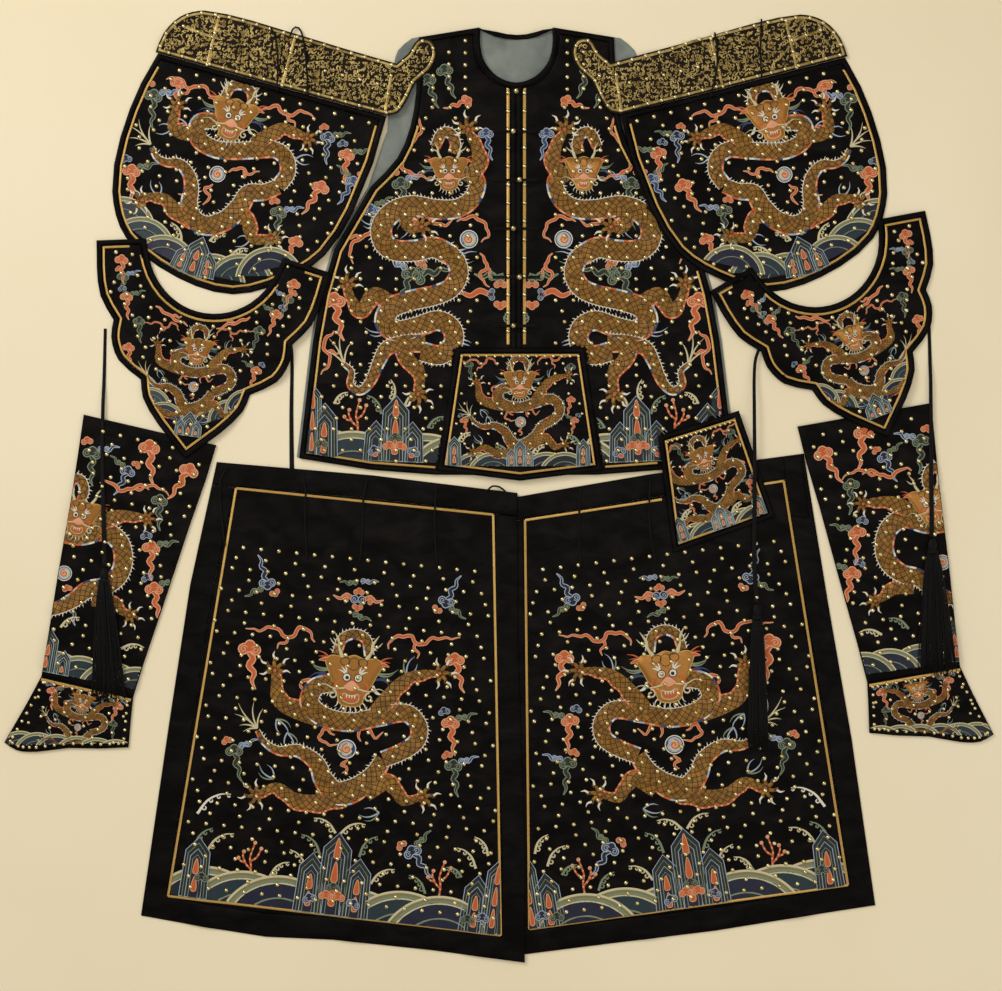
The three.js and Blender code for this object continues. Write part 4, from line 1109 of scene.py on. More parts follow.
SHIFT = (2.6, -1.1)  # from the layout's middle to the frame's


def panel(node, at, turn=0.0, size=1.0, flip=False, edge=1.2):
    """The needlework of a panel, and its motif frame: at is the middle of its upper edge. The
    stitches stop at edge inside its rim, or past it below 0."""
    whole = Needlework(node)
    whole.clips = [inset(outlines[node], edge)]
    return whole, whole.at(at[0] + SHIFT[0], at[1] + SHIFT[1], turn, size, flip)


def couch_line(work, corners, width=3.8, level=0):
    """A couched gilt line with straight runs between its corners."""
    for a, b in zip(np.array(corners[:-1], float), np.array(corners[1:], float)):
        steps = max(int(np.hypot(*(b - a)) / 8), 1)
        work.band(a + (b - a) * np.linspace(0, 1, steps + 1)[:, None], width / 2, "gold", 0.7, level,
                  COUCHED)


def couch_edge(whole, level, clips=None):
    """A couched gilt line just inside the panel's own edge, cut off at other clips if given."""
    part = whole.at(0, 0)
    part.clips = clips or whole.clips
    part.loop(inset(divided(outlines[whole.node], 7.0), 2.6), 4.0, "gold", level, 0.7, COUCHED)


def fenced(work, corners, at=(0, 0), turn=0.0):
    """A frame within this one, whose stitches are cut off at a closed line through these corners."""
    part = work.at(*at, turn)
    rim = np.array(corners, float)
    world = work.place(rim if signed_area(rim) > 0 else rim[::-1])
    part.clips = [*part.clips, world if signed_area(world) > 0 else world[::-1]]
    return part


def sea(work, waves, peaks):
    """Waves along a base line, each over the last, and peaks that rise between them."""
    for k, (x, radius, sink) in enumerate(waves):
        wave(work.at(x, 0), radius, sink, k)
    for x, tall, wide, cores in peaks:
        mountain(work.at(x, 0), tall, wide, cores)


# Gilt studs.
# Small domes of thin gilt brass, sewn on in rows over the whole field and its embroidery.
STUD = 7.4  # diameter
DOME = 0.42  # height of a dome as a share of its diameter
STUD_INSET = 8.0  # least distance from a panel's edge
SEAT = 0.8  # share of the stitches' height at which a stud sits on them


def brass_material():
    """Thin stamped brass, worn and warm: a soft shine that is brighter at the crown of each dome."""
    material, tree, shader = new_material("gilt brass")
    _, colour = clouded(tree, {"Scale": 90.0, "Detail": 3.0}, (0.3, 0.7), linear("#c0ab6c"),
                        linear("#f4e8ba"))
    dress(shader, Base_Color=colour, Metallic=0.9, Roughness=0.22)
    return material


BRASS = brass_material()


def domes(name, centres, heights, diameter):
    """Joined domes: rings of ten at r cos(t) and high sin(t), each closed at its crown."""
    around, rings = 10, (0.0, 0.5, 1.0)
    high = DOME * diameter
    a = np.arange(around) * 2 * np.pi / around
    ring = np.concatenate([np.column_stack([np.cos(t) * np.cos(a), np.cos(t) * np.sin(a),
                                            np.full(around, np.sin(t))])
                           for t in rings] + [np.array([[0, 0, 1.0]])])
    ring = ring * (diameter / 2, diameter / 2, high)
    points = ring[None] + np.column_stack([centres, heights])[:, None]
    k = np.arange(around)
    walls = [np.column_stack([k + r * around, (k + 1) % around + r * around,
                              (k + 1) % around + (r + 1) * around,
                              k + (r + 1) * around]) for r in range(len(rings) - 1)]
    last = (len(rings) - 1) * around
    crown = np.column_stack([k + last, (k + 1) % around + last, np.full(around, last + around)])
    shift = np.arange(len(centres))[:, None, None] * len(ring)
    blocks = [(np.concatenate(walls)[None] + shift).reshape(-1, 4), (crown[None] + shift).reshape(-1, 3)]
    piece = mesh_object(name, points.reshape(-1, 3), blocks)
    piece.data.materials.append(BRASS)
    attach(piece, "root")


def stud_rows(work, bounds, full=(29.5, 35.3), sparse=49.0, skip=()):
    """Studs of a panel: full rows, with a sparse row between each two, as far as bounds (low x, high x,
    low y, high y) in the motif frame reach. They stand on whatever stitches lie under them."""
    low_x, high_x, low_y, high_y = bounds
    step, rise = full
    places = []
    for k, y in enumerate(np.arange(high_y, low_y, -rise / 2)):
        gap = step if k % 2 == 0 else sparse
        x = np.arange(low_x + (0 if k % 4 < 2 else gap / 2), high_x, gap)
        places.append(np.column_stack([x, np.full(len(x), y)]))
    places = np.concatenate(places)
    if len(skip):
        places = places[edge_distance(places, np.array(skip, float)) < 0]
    centres = work.place(places)
    inside = edge_distance(centres, outlines[work.node]) > STUD_INSET
    return centres[inside & ~hidden(work.node, centres)]


BINDING = 13.0  # how far a piece's binding reaches past it
COVERS = {  # the pieces that lie over each panel
    "vest_front_left": ("shoulder_guard_left", "armpit_guard_left", "front_flap"),
    "vest_front_right": ("shoulder_guard_right", "armpit_guard_right", "front_flap", "side_flap"),
    "armpit_guard_left": ("shoulder_guard_left",), "armpit_guard_right": ("shoulder_guard_right",),
    "sleeve_left": ("armpit_guard_left", "shoulder_guard_left"),
    "sleeve_right": ("armpit_guard_right", "shoulder_guard_right"),
    "skirt_field_right": ("side_flap", "vest_front_right", "sleeve_right"),
    "skirt_field_left": ("vest_front_left", "sleeve_left"),
}


def hidden(node, points):
    """Which points lie under a piece that covers the panel, or under its binding."""
    under = np.zeros(len(points), bool)
    for cover in COVERS.get(node, ()):
        under |= edge_distance(points, outlines[cover]) > -BINDING
    return under


def sew_studs(name, node, centres, diameter=STUD):
    """Puts the studs on the cloth, or on the stitches round them."""
    heights = surfaces[node](*centres.T) + SEAT * raised(*centres.T)
    domes(name, centres, heights, diameter)


# Skirt embroidery.
# A coiled dragon on each apron, among clouds, over waves and rocks at the hem.
def clouds(work, rows):
    """Clouds of one hue, or groups of three: each row is x, y, turn, size and hues."""
    for x, y, turn, size, hue in rows:
        at = work.at(x, y, turn, size, turn < 0)
        if isinstance(hue, str):
            cloud(at, hue)
        else:
            cloud_group(at, hue)


def foam(work, rows):
    """Sprays: each row is the root, the tip and the hue."""
    for x, y, to_x, to_y, hue in rows:
        spray(work, (x, y), (to_x, to_y), hue)


NAVY_GROUP, CORAL_GROUP = ("navy", "coral", "green"), ("coral", "navy", "green")
GREEN_GROUP, BLUE_GROUP = ("green", "coral", "blue"), ("blue", "coral", "green")


def skirt_design(work, fence):
    """The motifs of one apron, from its waist down, inside a gilt line through fence's corners."""
    coast = fenced(work, fence, (0, -683), -1.4)
    sea(coast, ((-190, 104, 52), (-128, 104, 52), (-68, 104, 52), (56, 100, 54), (134, 104, 52),
                (200, 104, 52)), ((-27, 98, 40, 2), (51, 98, 40, 2), (12, 136, 46, 3),
                                  (-216, 100, 40, 2), (248, 96, 40, 2), (279, 124, 34, 3)))
    couch_line(work, (*fence, fence[0]), level=10)
    coast.base = 26
    cloud_heads(coast, 0.95, ((2, 30, 0, "coral"), (22, 30, 0, "coral"), (12, 44, 0, "green"),
                              (-24, 22, 20, "navy"), (48, 22, -20, "navy"), (-205, 34, 0, "green"),
                              (262, 26, 0, "navy"), (238, 20, 0, "green")))
    foam(work, ((-33, -621, -62, -582, "cream"), (-14, -587, -46, -555, "sage"),
                (8, -549, -29, -526, "cream"), (16, -549, 55, -528, "cream"),
                (51, -584, 76, -546, "sage"), (74, -626, 110, -597, "cream"),
                (165, -633, 137, -604, "sage"), (244, -583, 212, -551, "cream"),
                (-92, -630, -64, -603, "cream"), (-222, -540, -172, -500, "white"),
                (-222, -600, -196, -560, "sage"), (-200, -600, -160, -565, "cream"),
                (222, -600, 196, -585, "sage"), (262, -560, 238, -530, "cream")))
    for x in (-126, 188):
        coral_branch(work.at(x, -640))
    cloud_cross(work.at(6, -162, 0, 1.1))
    cloud_group(work.at(-146, -150, 190, 1.1))
    cloud_group(work.at(151, -150, 170, 1.1, True))
    clouds(work, ((-164, -262, 0, 1.5, "coral"), (175, -246, 8, 1.25, "coral"),
                  (178, -350, 0, 1.2, CORAL_GROUP), (190, -420, 1, 1.15, GREEN_GROUP),
                  (-172, -432, 6, 1.15, GREEN_GROUP), (138, -568, 30, 1.2, NAVY_GROUP)))
    coiled_dragon(work.at(10, -292))


FENCES = {"left": ((-256, -680), (-213, 0), (213, 0), (296, -688)),
          "right": ((-244, -673), (-219, 1), (212, -12), (286, -682))}
for side, at, turn, flip in (("left", (-224, -23), -5.85, False), ("right", (249.5, -16.5), 6.9, True)):
    whole, work = panel(f"skirt_field_{side}", at, turn, 1.0, flip, -3.0)
    skirt_design(work, FENCES[side])
    whole.finish(f"skirt_embroidery_{side}")
    sew_studs(f"skirt_studs_{side}", whole.node, stud_rows(work, (-250, 300, -672, -96)))


# Coat embroidery.
# A large dragon climbs each front and turns its head to the centre, over waves and rocks.
def coat_design(work):
    """The motifs of the wearer's right front; the other front is its mirror image."""
    couch_line(work, ((-13.5, -98), (-13.5, -730)), 4.6)
    fence = ((-320, -440), (-329, -542), (-351, -706), (-125, -722), (-18, -730), (-10, -100), (-300, -100))
    coast = fenced(work, fence, (0, -722), -2.0)
    sea(coast, ((-318, 96, 48), (-268, 92, 46), (-150, 96, 50), (-92, 96, 50), (-40, 96, 50)),
        ((-233, 66, 34, 1), (-173, 66, 34, 1), (-201, 108, 42, 3), (-318, 92, 40, 2),
         (-338, 120, 26, 3)))
    coast.base = 26
    cloud_heads(coast, 0.9, ((-210, 24, 0, "coral"), (-192, 24, 0, "coral"), (-201, 38, 0, "green"),
                             (-170, 16, -20, "navy"), (-234, 16, 20, "navy"), (-322, 24, 0, "green")))
    foam(work, ((-205, -618, -205, -580, "cream"), (-222, -637, -244, -605, "sage"),
                (-184, -624, -160, -600, "cream"), (-146, -660, -118, -640, "sage"),
                (-300, -620, -278, -600, "cream"), (-90, -672, -62, -650, "cream")))
    coral_branch(work.at(-262, -676))
    clouds(work, ((-190, -259, 0, 1.2, GREEN_GROUP), (-173, -408, -10, 1.3, GREEN_GROUP),
                  (-240, -302, 5, 1.1, BLUE_GROUP), (-50, -176, 0, 1.0, "blue"),
                  (-82, -122, -60, 0.9, "coral"), (-300, -452, 0, 1.5, "coral"),
                  (-158, -408, 90, 1.3, "green"), (-146, -88, 8, 1.1, "green"),
                  (-118, -72, 8, 1.1, "green")))
    cloud_heads(work, 0.9, ((-26, -424, 0, "coral"), (-26, -456, 180, "coral")))
    cloud_head(work.at(-40, -440, 90, 0.8), "navy")
    cloud_tail(work, ((-44, -440), (-60, -434), (-76, -442), (-92, -436), (-108, -438)), "coral", 9)
    wisp(work.at(-20, -408, 176, 1.5), "green")
    wisp(work.at(-20, -474, 184, 1.5, True), "green")
    flame(work, ((-140, -250), (-184, -235), (-190, -200), (-168, -186), (-156, -164), (-170, -140)),
          4.6, ((0.5, 40, 30),))
    flame(work, ((-228, -310), (-242, -339), (-262, -350), (-274, -365), (-270, -390)), 4.6,
          ((0.5, -40, 26),))
    flame(work, ((-150, -312), (-135, -322), (-119, -326), (-104, -318)), 4.0)
    flame(work, ((-60, -372), (-48, -392), (-60, -410), (-44, -428)), 4.0, ((0.4, 35, 20),))
    flame(work, ((-98, -320), (-72, -312), (-52, -324), (-46, -342), (-58, -354)), 4.0)
    flame(work, ((-300, -500), (-318, -522), (-306, -548), (-322, -572)), 4.2, ((0.5, 35, 22),))
    strands(work.at(-283, -555, 110), ((-40, 40, 4), (-14, 52, 4), (12, 50, -3), (36, 38, -3)), "cream",
            2.8)
    for x, y, turn in ((-222, -326, 160), (-100, -384, 20), (-212, -500, 170), (-104, -521, -20),
                       (-173, -315, 240)):
        strands(work.at(x, y, turn), ((0, 38, 5), (20, 30, 5)), "pale_blue", 2.6)
        strands(work.at(x, y, turn - 20), ((0, 30, -4),), "sage", 2.6)
    body(work, ((-134, -197), (-123, -175), (-108, -175), (-100, -192), (-104, -208)), (16, 17, 17, 15),
         1, 1)
    limb(work, ((-205, -455), (-235, -441), (-254, -468), (-271, -450), (-277, -428)),
         (26, 26, 24, 18, 11), 1, 88, 1)
    body(work, ((-150, -520), (-182, -521), (-212, -528), (-226, -550), (-241, -584), (-258, -599),
                (-273, -588), (-271, -567), (-283, -555)), (30, 28, 24, 20, 17, 13, 10, 7), -1, 1)
    limb(work, ((-185, -528), (-178, -550), (-163, -563), (-159, -584), (-161, -600)),
         (26, 26, 24, 18, 11), -1, -90, 2)
    body(work, ((-120, -366), (-100, -384), (-95, -408), (-108, -430), (-135, -442), (-172, -450),
                (-205, -462), (-216, -484), (-200, -500), (-165, -494), (-130, -483), (-106, -496),
                (-104, -521), (-125, -540), (-157, -534)), (30, 31, 32, 33, 33, 32, 31, 31), 1, 2)
    body(work, ((-78, -236), (-64, -256), (-74, -283), (-97, -298), (-130, -300), (-172, -294),
                (-203, -304), (-222, -328), (-218, -355), (-198, -368), (-165, -368), (-135, -363),
                (-108, -376)), (24, 28, 32, 33, 34, 34, 34, 33), -1, 4)
    limb(work, ((-165, -296), (-182, -316), (-172, -332), (-160, -330)), (28, 26, 20, 12), 1, 20, 7)
    limb(work, ((-82, -256), (-62, -226), (-64, -200), (-74, -182), (-78, -172)), (28, 27, 25, 18, 11),
         -1, 95, 6)
    pearl(work.at(-78, -349, 0, 0.95))
    dragon_head(work.at(-111, -238, 0, 0.74))


YOKE = ((-84, -22, 5), (-111, -41, 4), (-137, -80, 3))  # x, top and count of each column of studs
for side, flip in (("left", False), ("right", True)):
    whole, work = panel(f"vest_front_{side}", (26, 758), 0, 1.0, flip)
    coat_design(work)
    fence = ((-400, -760), (-24, -760), (-24, -160), (-190, -160), (-190, -60), (-400, -60))
    couch_edge(whole, 10, fenced(work, fence).clips)
    whole.finish(f"coat_embroidery_{side}")
    seam = work.place(np.column_stack([np.full(21, -13.5), np.arange(-108, -725, -30.2)]))
    yoke = work.place([(x, top - 20 * k) for x, top, count in YOKE for k in range(count)])
    rows = stud_rows(work, (-345, -58, -716, -132), skip=((-62, -395), (0, -395), (0, -60), (-62, -60)))
    lines = np.concatenate([seam, yoke])
    sew_studs(f"coat_studs_{side}", whole.node, np.concatenate([lines[~hidden(whole.node, lines)], rows]))


# Flap embroidery.
# Each flap is a small banner with a coiled dragon inside a gilt line, and studs close along its top.
def flap_design(work, fence, dragon_at, size, peaks, waves):
    """The motifs of a flap: a sea along its lower edge and a dragon between clouds."""
    base = (fence[0][1] + fence[-1][1]) / 2
    coast = fenced(work, fence, (0, base + 2))
    sea(coast, [(x, 44, 22) for x in waves], [(x, tall, wide, 2) for x, tall, wide in peaks])
    high = dragon_at[1] + 30
    wide = abs(fence[1][0]) - 20
    clouds(work, ((-wide, high, 0, 0.62, "green"), (wide, high - 4, -1, 0.62, "green"),
                  (wide, high - 58, -1, 0.6, "coral"), (wide + 6, high - 92, -1, 0.56, CORAL_GROUP),
                  (-wide - 8, high - 92, 1, 0.56, CORAL_GROUP)))
    foam(work, [(x + 6, base + tall - 6, x + 26, base + tall + 10, "cream") for x, tall, _ in peaks])
    foam(work, [(x - 6, base + tall - 6, x - 26, base + tall + 10, "sage") for x, tall, _ in peaks])
    coiled_dragon(work.at(*dragon_at, 0, size))


FLAPS = (
    ("front_flap", (32, 230), 0.0, ((-124, -197), (-104, -8), (104, -8), (126, -196)), (0, -58), 0.55,
     ((0, 42, 18), (-14, 28, 14), (14, 28, 14), (-108, 48, 20), (104, 44, 20)), (-72, -44, 44, 74)),
    ("side_flap", (325.5, 105.5), 17.6, ((-94, -182), (-66, -8), (62, -8), (67, -176)), (-10, -56), 0.46,
     ((-10, 38, 16), (-22, 26, 12), (2, 26, 12), (-80, 40, 18), (54, 38, 18)), (-58, -34, 22, 46)),
)
for name, at, turn, *design in FLAPS:
    whole, work = panel(name, at, turn)
    flap_design(work, *design)
    couch_edge(whole, 10)
    whole.finish(f"{name}_embroidery")
    wide = -design[0][1][0] - 8
    row = work.place(np.column_stack([np.linspace(-wide, wide, 15), np.full(15, -14.0)]))
    rows = stud_rows(work, (-118, 124, -190, -26), (27.0, 33.0), 44.0)
    sew_studs(f"{name}_studs", name, np.concatenate([row, rows]), diameter=5.4)


# Sleeve embroidery.
# On each sleeve a dragon turns round the fold; on each cuff a smaller one over a border of waves.
def sleeve_design(work):
    """The motifs of the wearer's right sleeve, from its top down."""
    coast = work.at(0, -424, 2.0)
    sea(coast, ((-62, 60, 24), (-18, 60, 24), (36, 60, 24), (78, 60, 24)),
        ((-80, 70, 28, 2), (-52, 40, 22, 1)))
    foam(work, ((35, -362, 71, -350, "cream"), (-10, -360, 18, -336, "sage"),
                (-70, -350, -44, -326, "cream")))
    clouds(work, ((6, -30, 6, 1.4, "coral"), (78, -52, -10, 1.3, "coral"),
                  (-84, -60, 0, 1.2, GREEN_GROUP), (42, -111, 0, 1.1, "green"),
                  (46, -190, 0, 1.2, CORAL_GROUP), (66, -255, 10, 1.2, CORAL_GROUP),
                  (-20, -76, -4, 1.0, NAVY_GROUP), (-62, -300, 5, 1.0, BLUE_GROUP)))
    flame(work, ((-60, -104), (-46, -98), (-22, -108), (4, -94), (33, -89), (56, -98)), 4.4,
          ((0.5, -35, 24),))
    body(work, ((-112, -130), (-105, -109), (-92, -106), (-82, -122), (-84, -140)), (15, 16, 16, 14), 1, 2)
    limb(work, ((-30, -292), (0, -290), (20, -300), (32, -304)), (26, 24, 18, 11), 1, -10, 2, 0.85)
    body(work, ((-100, -200), (-70, -196), (-36, -180), (-8, -190), (6, -217), (4, -246), (-14, -268),
                (-40, -280), (-60, -303), (-84, -322), (-104, -330)),
         (26, 29, 30, 30, 30, 29, 27, 22, 16), 1, 3)
    limb(work, ((-56, -184), (-38, -163), (-16, -150), (12, -144), (24, -144)), (27, 26, 23, 17, 10),
         -1, 5, 5, 0.85)
    pearl(work.at(-84, -262, 0, 0.8))
    dragon_head(work.at(-80, -164, 0, 0.8))


for side, *where in (("left", (-578, 95), -13.0, 1.0, False), ("right", (600, 120), 10.0, 1.0, True)):
    whole, work = panel(f"sleeve_{side}", *where)
    sleeve_design(fenced(work, ((-130, -430), (-130, -14), (130, -14), (130, -430))))
    whole.finish(f"sleeve_embroidery_{side}")
    sew_studs(f"sleeve_studs_{side}", whole.node, stud_rows(work, (-104, 102, -420, -20)))
    whole, work = panel(f"cuff_{side}", *where)
    couch_line(work, ((-82, -441), (70, -441)), 4.6)
    part = fenced(work, ((-130, -560), (-130, -442), (100, -442), (100, -505), (60, -516), (-12, -534),
                         (-95, -556)))
    sea(part.at(-10, -546, 8.0), ((-80, 40, 14), (-52, 40, 14), (-20, 40, 14), (14, 40, 14),
                                  (46, 40, 14), (78, 40, 14)), ())
    clouds(part, ((-60, -456, 0, 0.7, CORAL_GROUP), (52, -456, -1, 0.7, CORAL_GROUP),
                  (50, -486, 0, 0.6, "green")))
    coiled_dragon(part.at(-6, -462, 0, 0.36))
    whole.finish(f"cuff_embroidery_{side}")
    edge = divided(inset(divided(outlines[whole.node], 8.0), 8.0), 14.0)[::2]
    rows = stud_rows(work, (-104, 74, -530, -470), (24.0, 30.0), 36.0)
    sew_studs(f"cuff_studs_{side}", whole.node, np.concatenate([edge, rows]), diameter=5.8)


# Shoulder guard embroidery.
# A coiled dragon fills each half-round guard, over waves that follow its lower edge.
def shoulder_design(work):
    """The motifs of the wearer's right shoulder guard, from the plate down."""
    for x, y, turn, layer in ((-165, -282, -32, 0), (-128, -304, -22, 1), (-88, -322, -12, 2),
                              (-8, -330, 4, 0),
                              (34, -318, 16, 1), (74, -296, 28, 2)):
        wave(work.at(x, y, turn), 56, 20, layer)
    for x, y, turn, tall, wide in ((-68, -334, -8, 42, 26), (-22, -336, 2, 42, 26),
                                   (-46, -338, -4, 66, 34)):
        mountain(work.at(x, y, turn), tall, wide, 2)
    foam(work, ((-74, -290, -98, -262, "cream"), (-50, -272, -64, -250, "sage"),
                (-30, -276, -8, -256, "cream"), (-150, -250, -172, -226, "cream"),
                (60, -262, 84, -240, "sage"), (10, -290, 34, -270, "cream")))
    clouds(work, ((-183, -71, 0, 1.2, GREEN_GROUP), (67, -201, 0, 1.1, GREEN_GROUP),
                  (123, -143, -6, 1.2, "coral"), (150, -80, 0, 1.1, CORAL_GROUP),
                  (172, -120, -5, 1.0, BLUE_GROUP), (-185, -200, 5, 1.2, CORAL_GROUP),
                  (112, -60, 0, 1.0, NAVY_GROUP), (-150, -40, 0, 1.0, "coral"),
                  (108, -240, -5, 1.0, "coral")))
    flame(work, ((-90, -46), (-110, -32), (-130, -42), (-152, -30), (-170, -38)), 4.4, ((0.5, 35, 24),))
    flame(work, ((-6, -46), (16, -32), (38, -42), (62, -28), (84, -36)), 4.4, ((0.5, -35, 24),))
    flame(work, ((-78, -176), (-96, -190), (-84, -206), (-100, -216)), 3.8)
    flame(work, ((-30, -158), (-14, -146), (4, -152), (18, -142)), 3.6, ((0.5, -35, 14),))
    flame(work, ((-50, -184), (-60, -196), (-48, -208), (-58, -220)), 3.6)
    strands(work.at(-166, -148, 150), ((-46, 34, 3), (-20, 46, 4), (6, 48, -3), (30, 38, -3),
                                       (52, 26, -2)), "cream", 2.6)
    for x, y, turn in ((-138, -112, 210), (-130, -227, 130), (35, -253, 220), (70, -108, 20),
                       (-118, -100, 200)):
        strands(work.at(x, y, turn), ((0, 30, 5), (-22, 24, -4)), "pale_blue", 2.4)
    body(work, ((-70, -44), (-64, -22), (-48, -14), (-30, -20), (-22, -40)), (14, 15, 15, 14), 1, 2)
    limb(work, ((-84, -104), (-111, -114), (-136, -112), (-142, -92), (-141, -80)),
         (27, 26, 24, 18, 11), -1, 92, 2, 0.9)
    body(work, ((55, -159), (35, -174), (11, -183), (3, -207), (-13, -235), (-39, -252), (-64, -248),
                (-78, -227), (-82, -199), (-93, -178), (-112, -166), (-133, -170), (-150, -166),
                (-163, -152)), (24, 27, 30, 32, 32, 30, 27, 22, 17, 12, 7), -1, 3)
    limb(work, ((-60, -250), (-92, -246), (-118, -230), (-140, -230), (-152, -238)),
         (27, 25, 22, 17, 11), 1, 200, 2, 0.9)
    limb(work, ((-4, -226), (20, -224), (34, -250), (52, -252), (64, -246)), (27, 25, 22, 17, 11), 1,
         12, 2, 0.9)
    body(work, ((-70, -82), (-98, -92), (-92, -118), (-62, -127), (-33, -122), (0, -112), (34, -102),
                (56, -112), (64, -134), (55, -159)), (24, 27, 28, 28, 28, 27, 26, 25, 24), 1, 4)
    limb(work, ((-2, -104), (16, -84), (36, -66), (62, -66), (76, -69)), (26, 25, 22, 17, 11), -1, -10,
         6, 0.9)
    pearl(work.at(-47, -166, 0, 0.85))
    dragon_head(work.at(-47, -69, 0, 0.92))


GUARD_PLACES = (("left", (-377, 664), -15.5, 1.0, False), ("right", (383, 662), 14.4, 0.98, True))
for side, *where in GUARD_PLACES:
    whole, work = panel(f"shoulder_guard_{side}", *where)
    shoulder_design(work)
    couch_edge(whole, 8, fenced(work, ((-260, -20), (-260, -400), (260, -400), (260, -20))).clips)
    whole.finish(f"shoulder_embroidery_{side}")
    sew_studs(f"shoulder_studs_{side}", whole.node, stud_rows(work, (-212, 205, -345, -18)))


# Armpit guard embroidery.
# A small dragon under the arm's notch, clouds up both arms and waves along the scalloped edge.
def armpit_design(work):
    """The motifs of the wearer's right armpit guard."""
    for x, y, turn, layer in ((-84, -160, -40, 0), (-62, -180, -34, 1), (-38, -200, -26, 2),
                              (30, -200, 26, 0),
                              (56, -182, 34, 1), (80, -162, 40, 2)):
        wave(work.at(x, y, turn), 34, 12, layer)
    for x, tall, wide in ((-14, 26, 16), (12, 26, 16), (-1, 40, 22)):
        mountain(work.at(x, -226), tall, wide, 1)
    clouds(work, ((-149, 45, 0, 0.9, "coral"), (-143, 18, 0, 0.8, GREEN_GROUP),
                  (-133, -14, 0, 0.85, CORAL_GROUP), (-107, -51, 0, 0.8, "green"),
                  (-118, -96, 0, 0.8, "coral"), (138, 44, -1, 0.9, "coral"),
                  (132, 18, -1, 0.8, GREEN_GROUP), (116, -9, -1, 0.85, CORAL_GROUP),
                  (92, -39, -1, 0.8, "green"), (96, -105, -1, 0.75, CORAL_GROUP)))
    flame(work, ((-83, -22), (-66, -30), (-50, -38), (-26, -46)), 3.6, ((0.5, 35, 16),))
    flame(work, ((74, -18), (58, -28), (38, -36), (22, -46)), 3.6, ((0.5, -35, 16),))
    coiled_dragon(work.at(-4, -84, 0, 0.52))


for side, *where in (("left", (-483, 309), -8.0, 1.0, False), ("right", (547, 324), 20.6, 0.975, True)):
    whole, work = panel(f"armpit_guard_{side}", *where)
    armpit_design(work)
    couch_edge(whole, 8)
    whole.finish(f"armpit_embroidery_{side}")
    rows = stud_rows(work, (-200, 200, -250, 90), (27.0, 33.0), 44.0)
    sew_studs(f"armpit_studs_{side}", whole.node, rows)


# Shoulder plates.
# Pierced gilt metal over silk, coloured dark as painted shade under the net: a beaten rim with studs,
# bars across it, and between them a net of small scrolls that was cut out by hand, so no two are alike.
def net_shade_backing_material():
    """Silk under the net, coloured dark brown as painted shade of the net: matt, with lighter
    clouds as painted light thrown on it by the gilt.
    """
    material, tree, shader = new_material("silk backing in painted net shade")
    _, colour = clouded(tree, {"Scale": 160.0, "Detail": 3.0}, (0.35, 0.7), linear("#0c0703"),
                        linear("#1f150a"))
    dress(shader, Base_Color=colour, Roughness=0.8, Specular_IOR_Level=0.2)
    return material


def gilt_material():
    """Beaten gilt brass, tarnished: brown in the hollows, bright on the crowns, with hammer marks of
    about 3 mm."""
    material, tree, shader = new_material("beaten gilt brass")
    place = put(tree, "ShaderNodeTexCoord").outputs["Object"]
    _, colour = clouded(tree, {"Scale": 70.0, "Detail": 4.0}, (0.32, 0.7), linear("#745e2c"),
                        linear("#bca568"), place)
    marks = put(tree, "ShaderNodeTexNoise", {"Vector": place, "Scale": 330.0, "Detail": 2.0})
    bump = put(tree, "ShaderNodeBump", {"Height": marks.outputs["Fac"], "Strength": 0.5,
                                        "Distance": 0.0008})
    dress(shader, Base_Color=colour, Normal=bump.outputs["Normal"], Metallic=0.7, Roughness=0.42)
    return material


# The plate's ground: silk whose dark colour is painted shade under the net, with lighter clouds of painted
# light from the gilt.
NET_SHADE_BACKING = net_shade_backing_material()
GILT = gilt_material()
OVERLAP = 1.7  # how far the dark ground reaches past the plate
SCROLL_PITCH = 7.4  # mean distance of the scrolls
SCATTER = 2.2  # and how far each may stray from its place
STUD_PITCH = 24.0  # distance of the studs on the bars
BEAD = 4.6  # width of the rim


def lay_backing(name):
    """The plate's ground, dark with painted shade, which stands for its node; keeps the plate's outline and
    surface.
    """
    rims = [inset(rim, -OVERLAP) for rim in rims_of(name)]
    top, under = height_field([name], 1, 8), height_field([name], -1, 8)
    piece = cloth(f"{name}_ground", rims, lambda x, y: top(x, y) - 0.4, under, NET_SHADE_BACKING, drop=0.5,
                  radius=1.5)
    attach(piece, "root")
    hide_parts(name)
    outlines[name], surfaces[name] = inset(rims[0], OVERLAP), top


def plate_design(whole, work, rng):
    """Rim, bars and scrolls of a plate, each a raised band of metal."""
    rim = inset(divided(outlines[whole.node], 6.0), 3.0)
    whole.loop(rim, BEAD, "gold", 2, 1.4)
    bars = (((-114, 84), (-111, 3)), ((16, 86), (17, 3)), ((186, 66), (193, 5)), ((-166, 54), (-115, 49)))
    for bar in bars:
        couch_line(work, bar, 4.4, 3)
    fence = inset(outlines[whole.node], 6.0)
    low, high = fence.min(0), fence.max(0)
    gx, gy = np.meshgrid(*(np.arange(low[k], high[k], SCROLL_PITCH) for k in (0, 1)))
    spots = np.column_stack([gx.ravel(), gy.ravel()]) + rng.uniform(-SCATTER, SCATTER, (gx.size, 2))
    spots = spots[edge_distance(spots, fence) > 1.0]
    for spot in spots:
        start, sweep = rng.uniform(0, 360), rng.choice((-1, 1)) * rng.uniform(170, 330)
        radius = rng.uniform(2.4, 4.2)
        whole.band(arc(spot, (radius, radius * 0.45), start, start + sweep, 2.0),
                   rng.uniform(0.8, 1.15), "gold", 0.8, 1)
        if rng.random() < 0.6:
            heading = math.radians(rng.uniform(0, 360))
            way = np.array([math.cos(heading), math.sin(heading)])
            side = np.array([-way[1], way[0]]) * rng.uniform(-2, 2)
            whole.band(np.array([spot - 4.5 * way, spot + side, spot + 4.5 * way]), 0.95, "gold", 0.8, 0)
    return rim, bars


def along(line, pitch):
    """Points at even steps on a line."""
    run = run_of(line)
    return values_at(np.linspace(0, run[-1], max(int(run[-1] / pitch), 1) + 1), run, line)


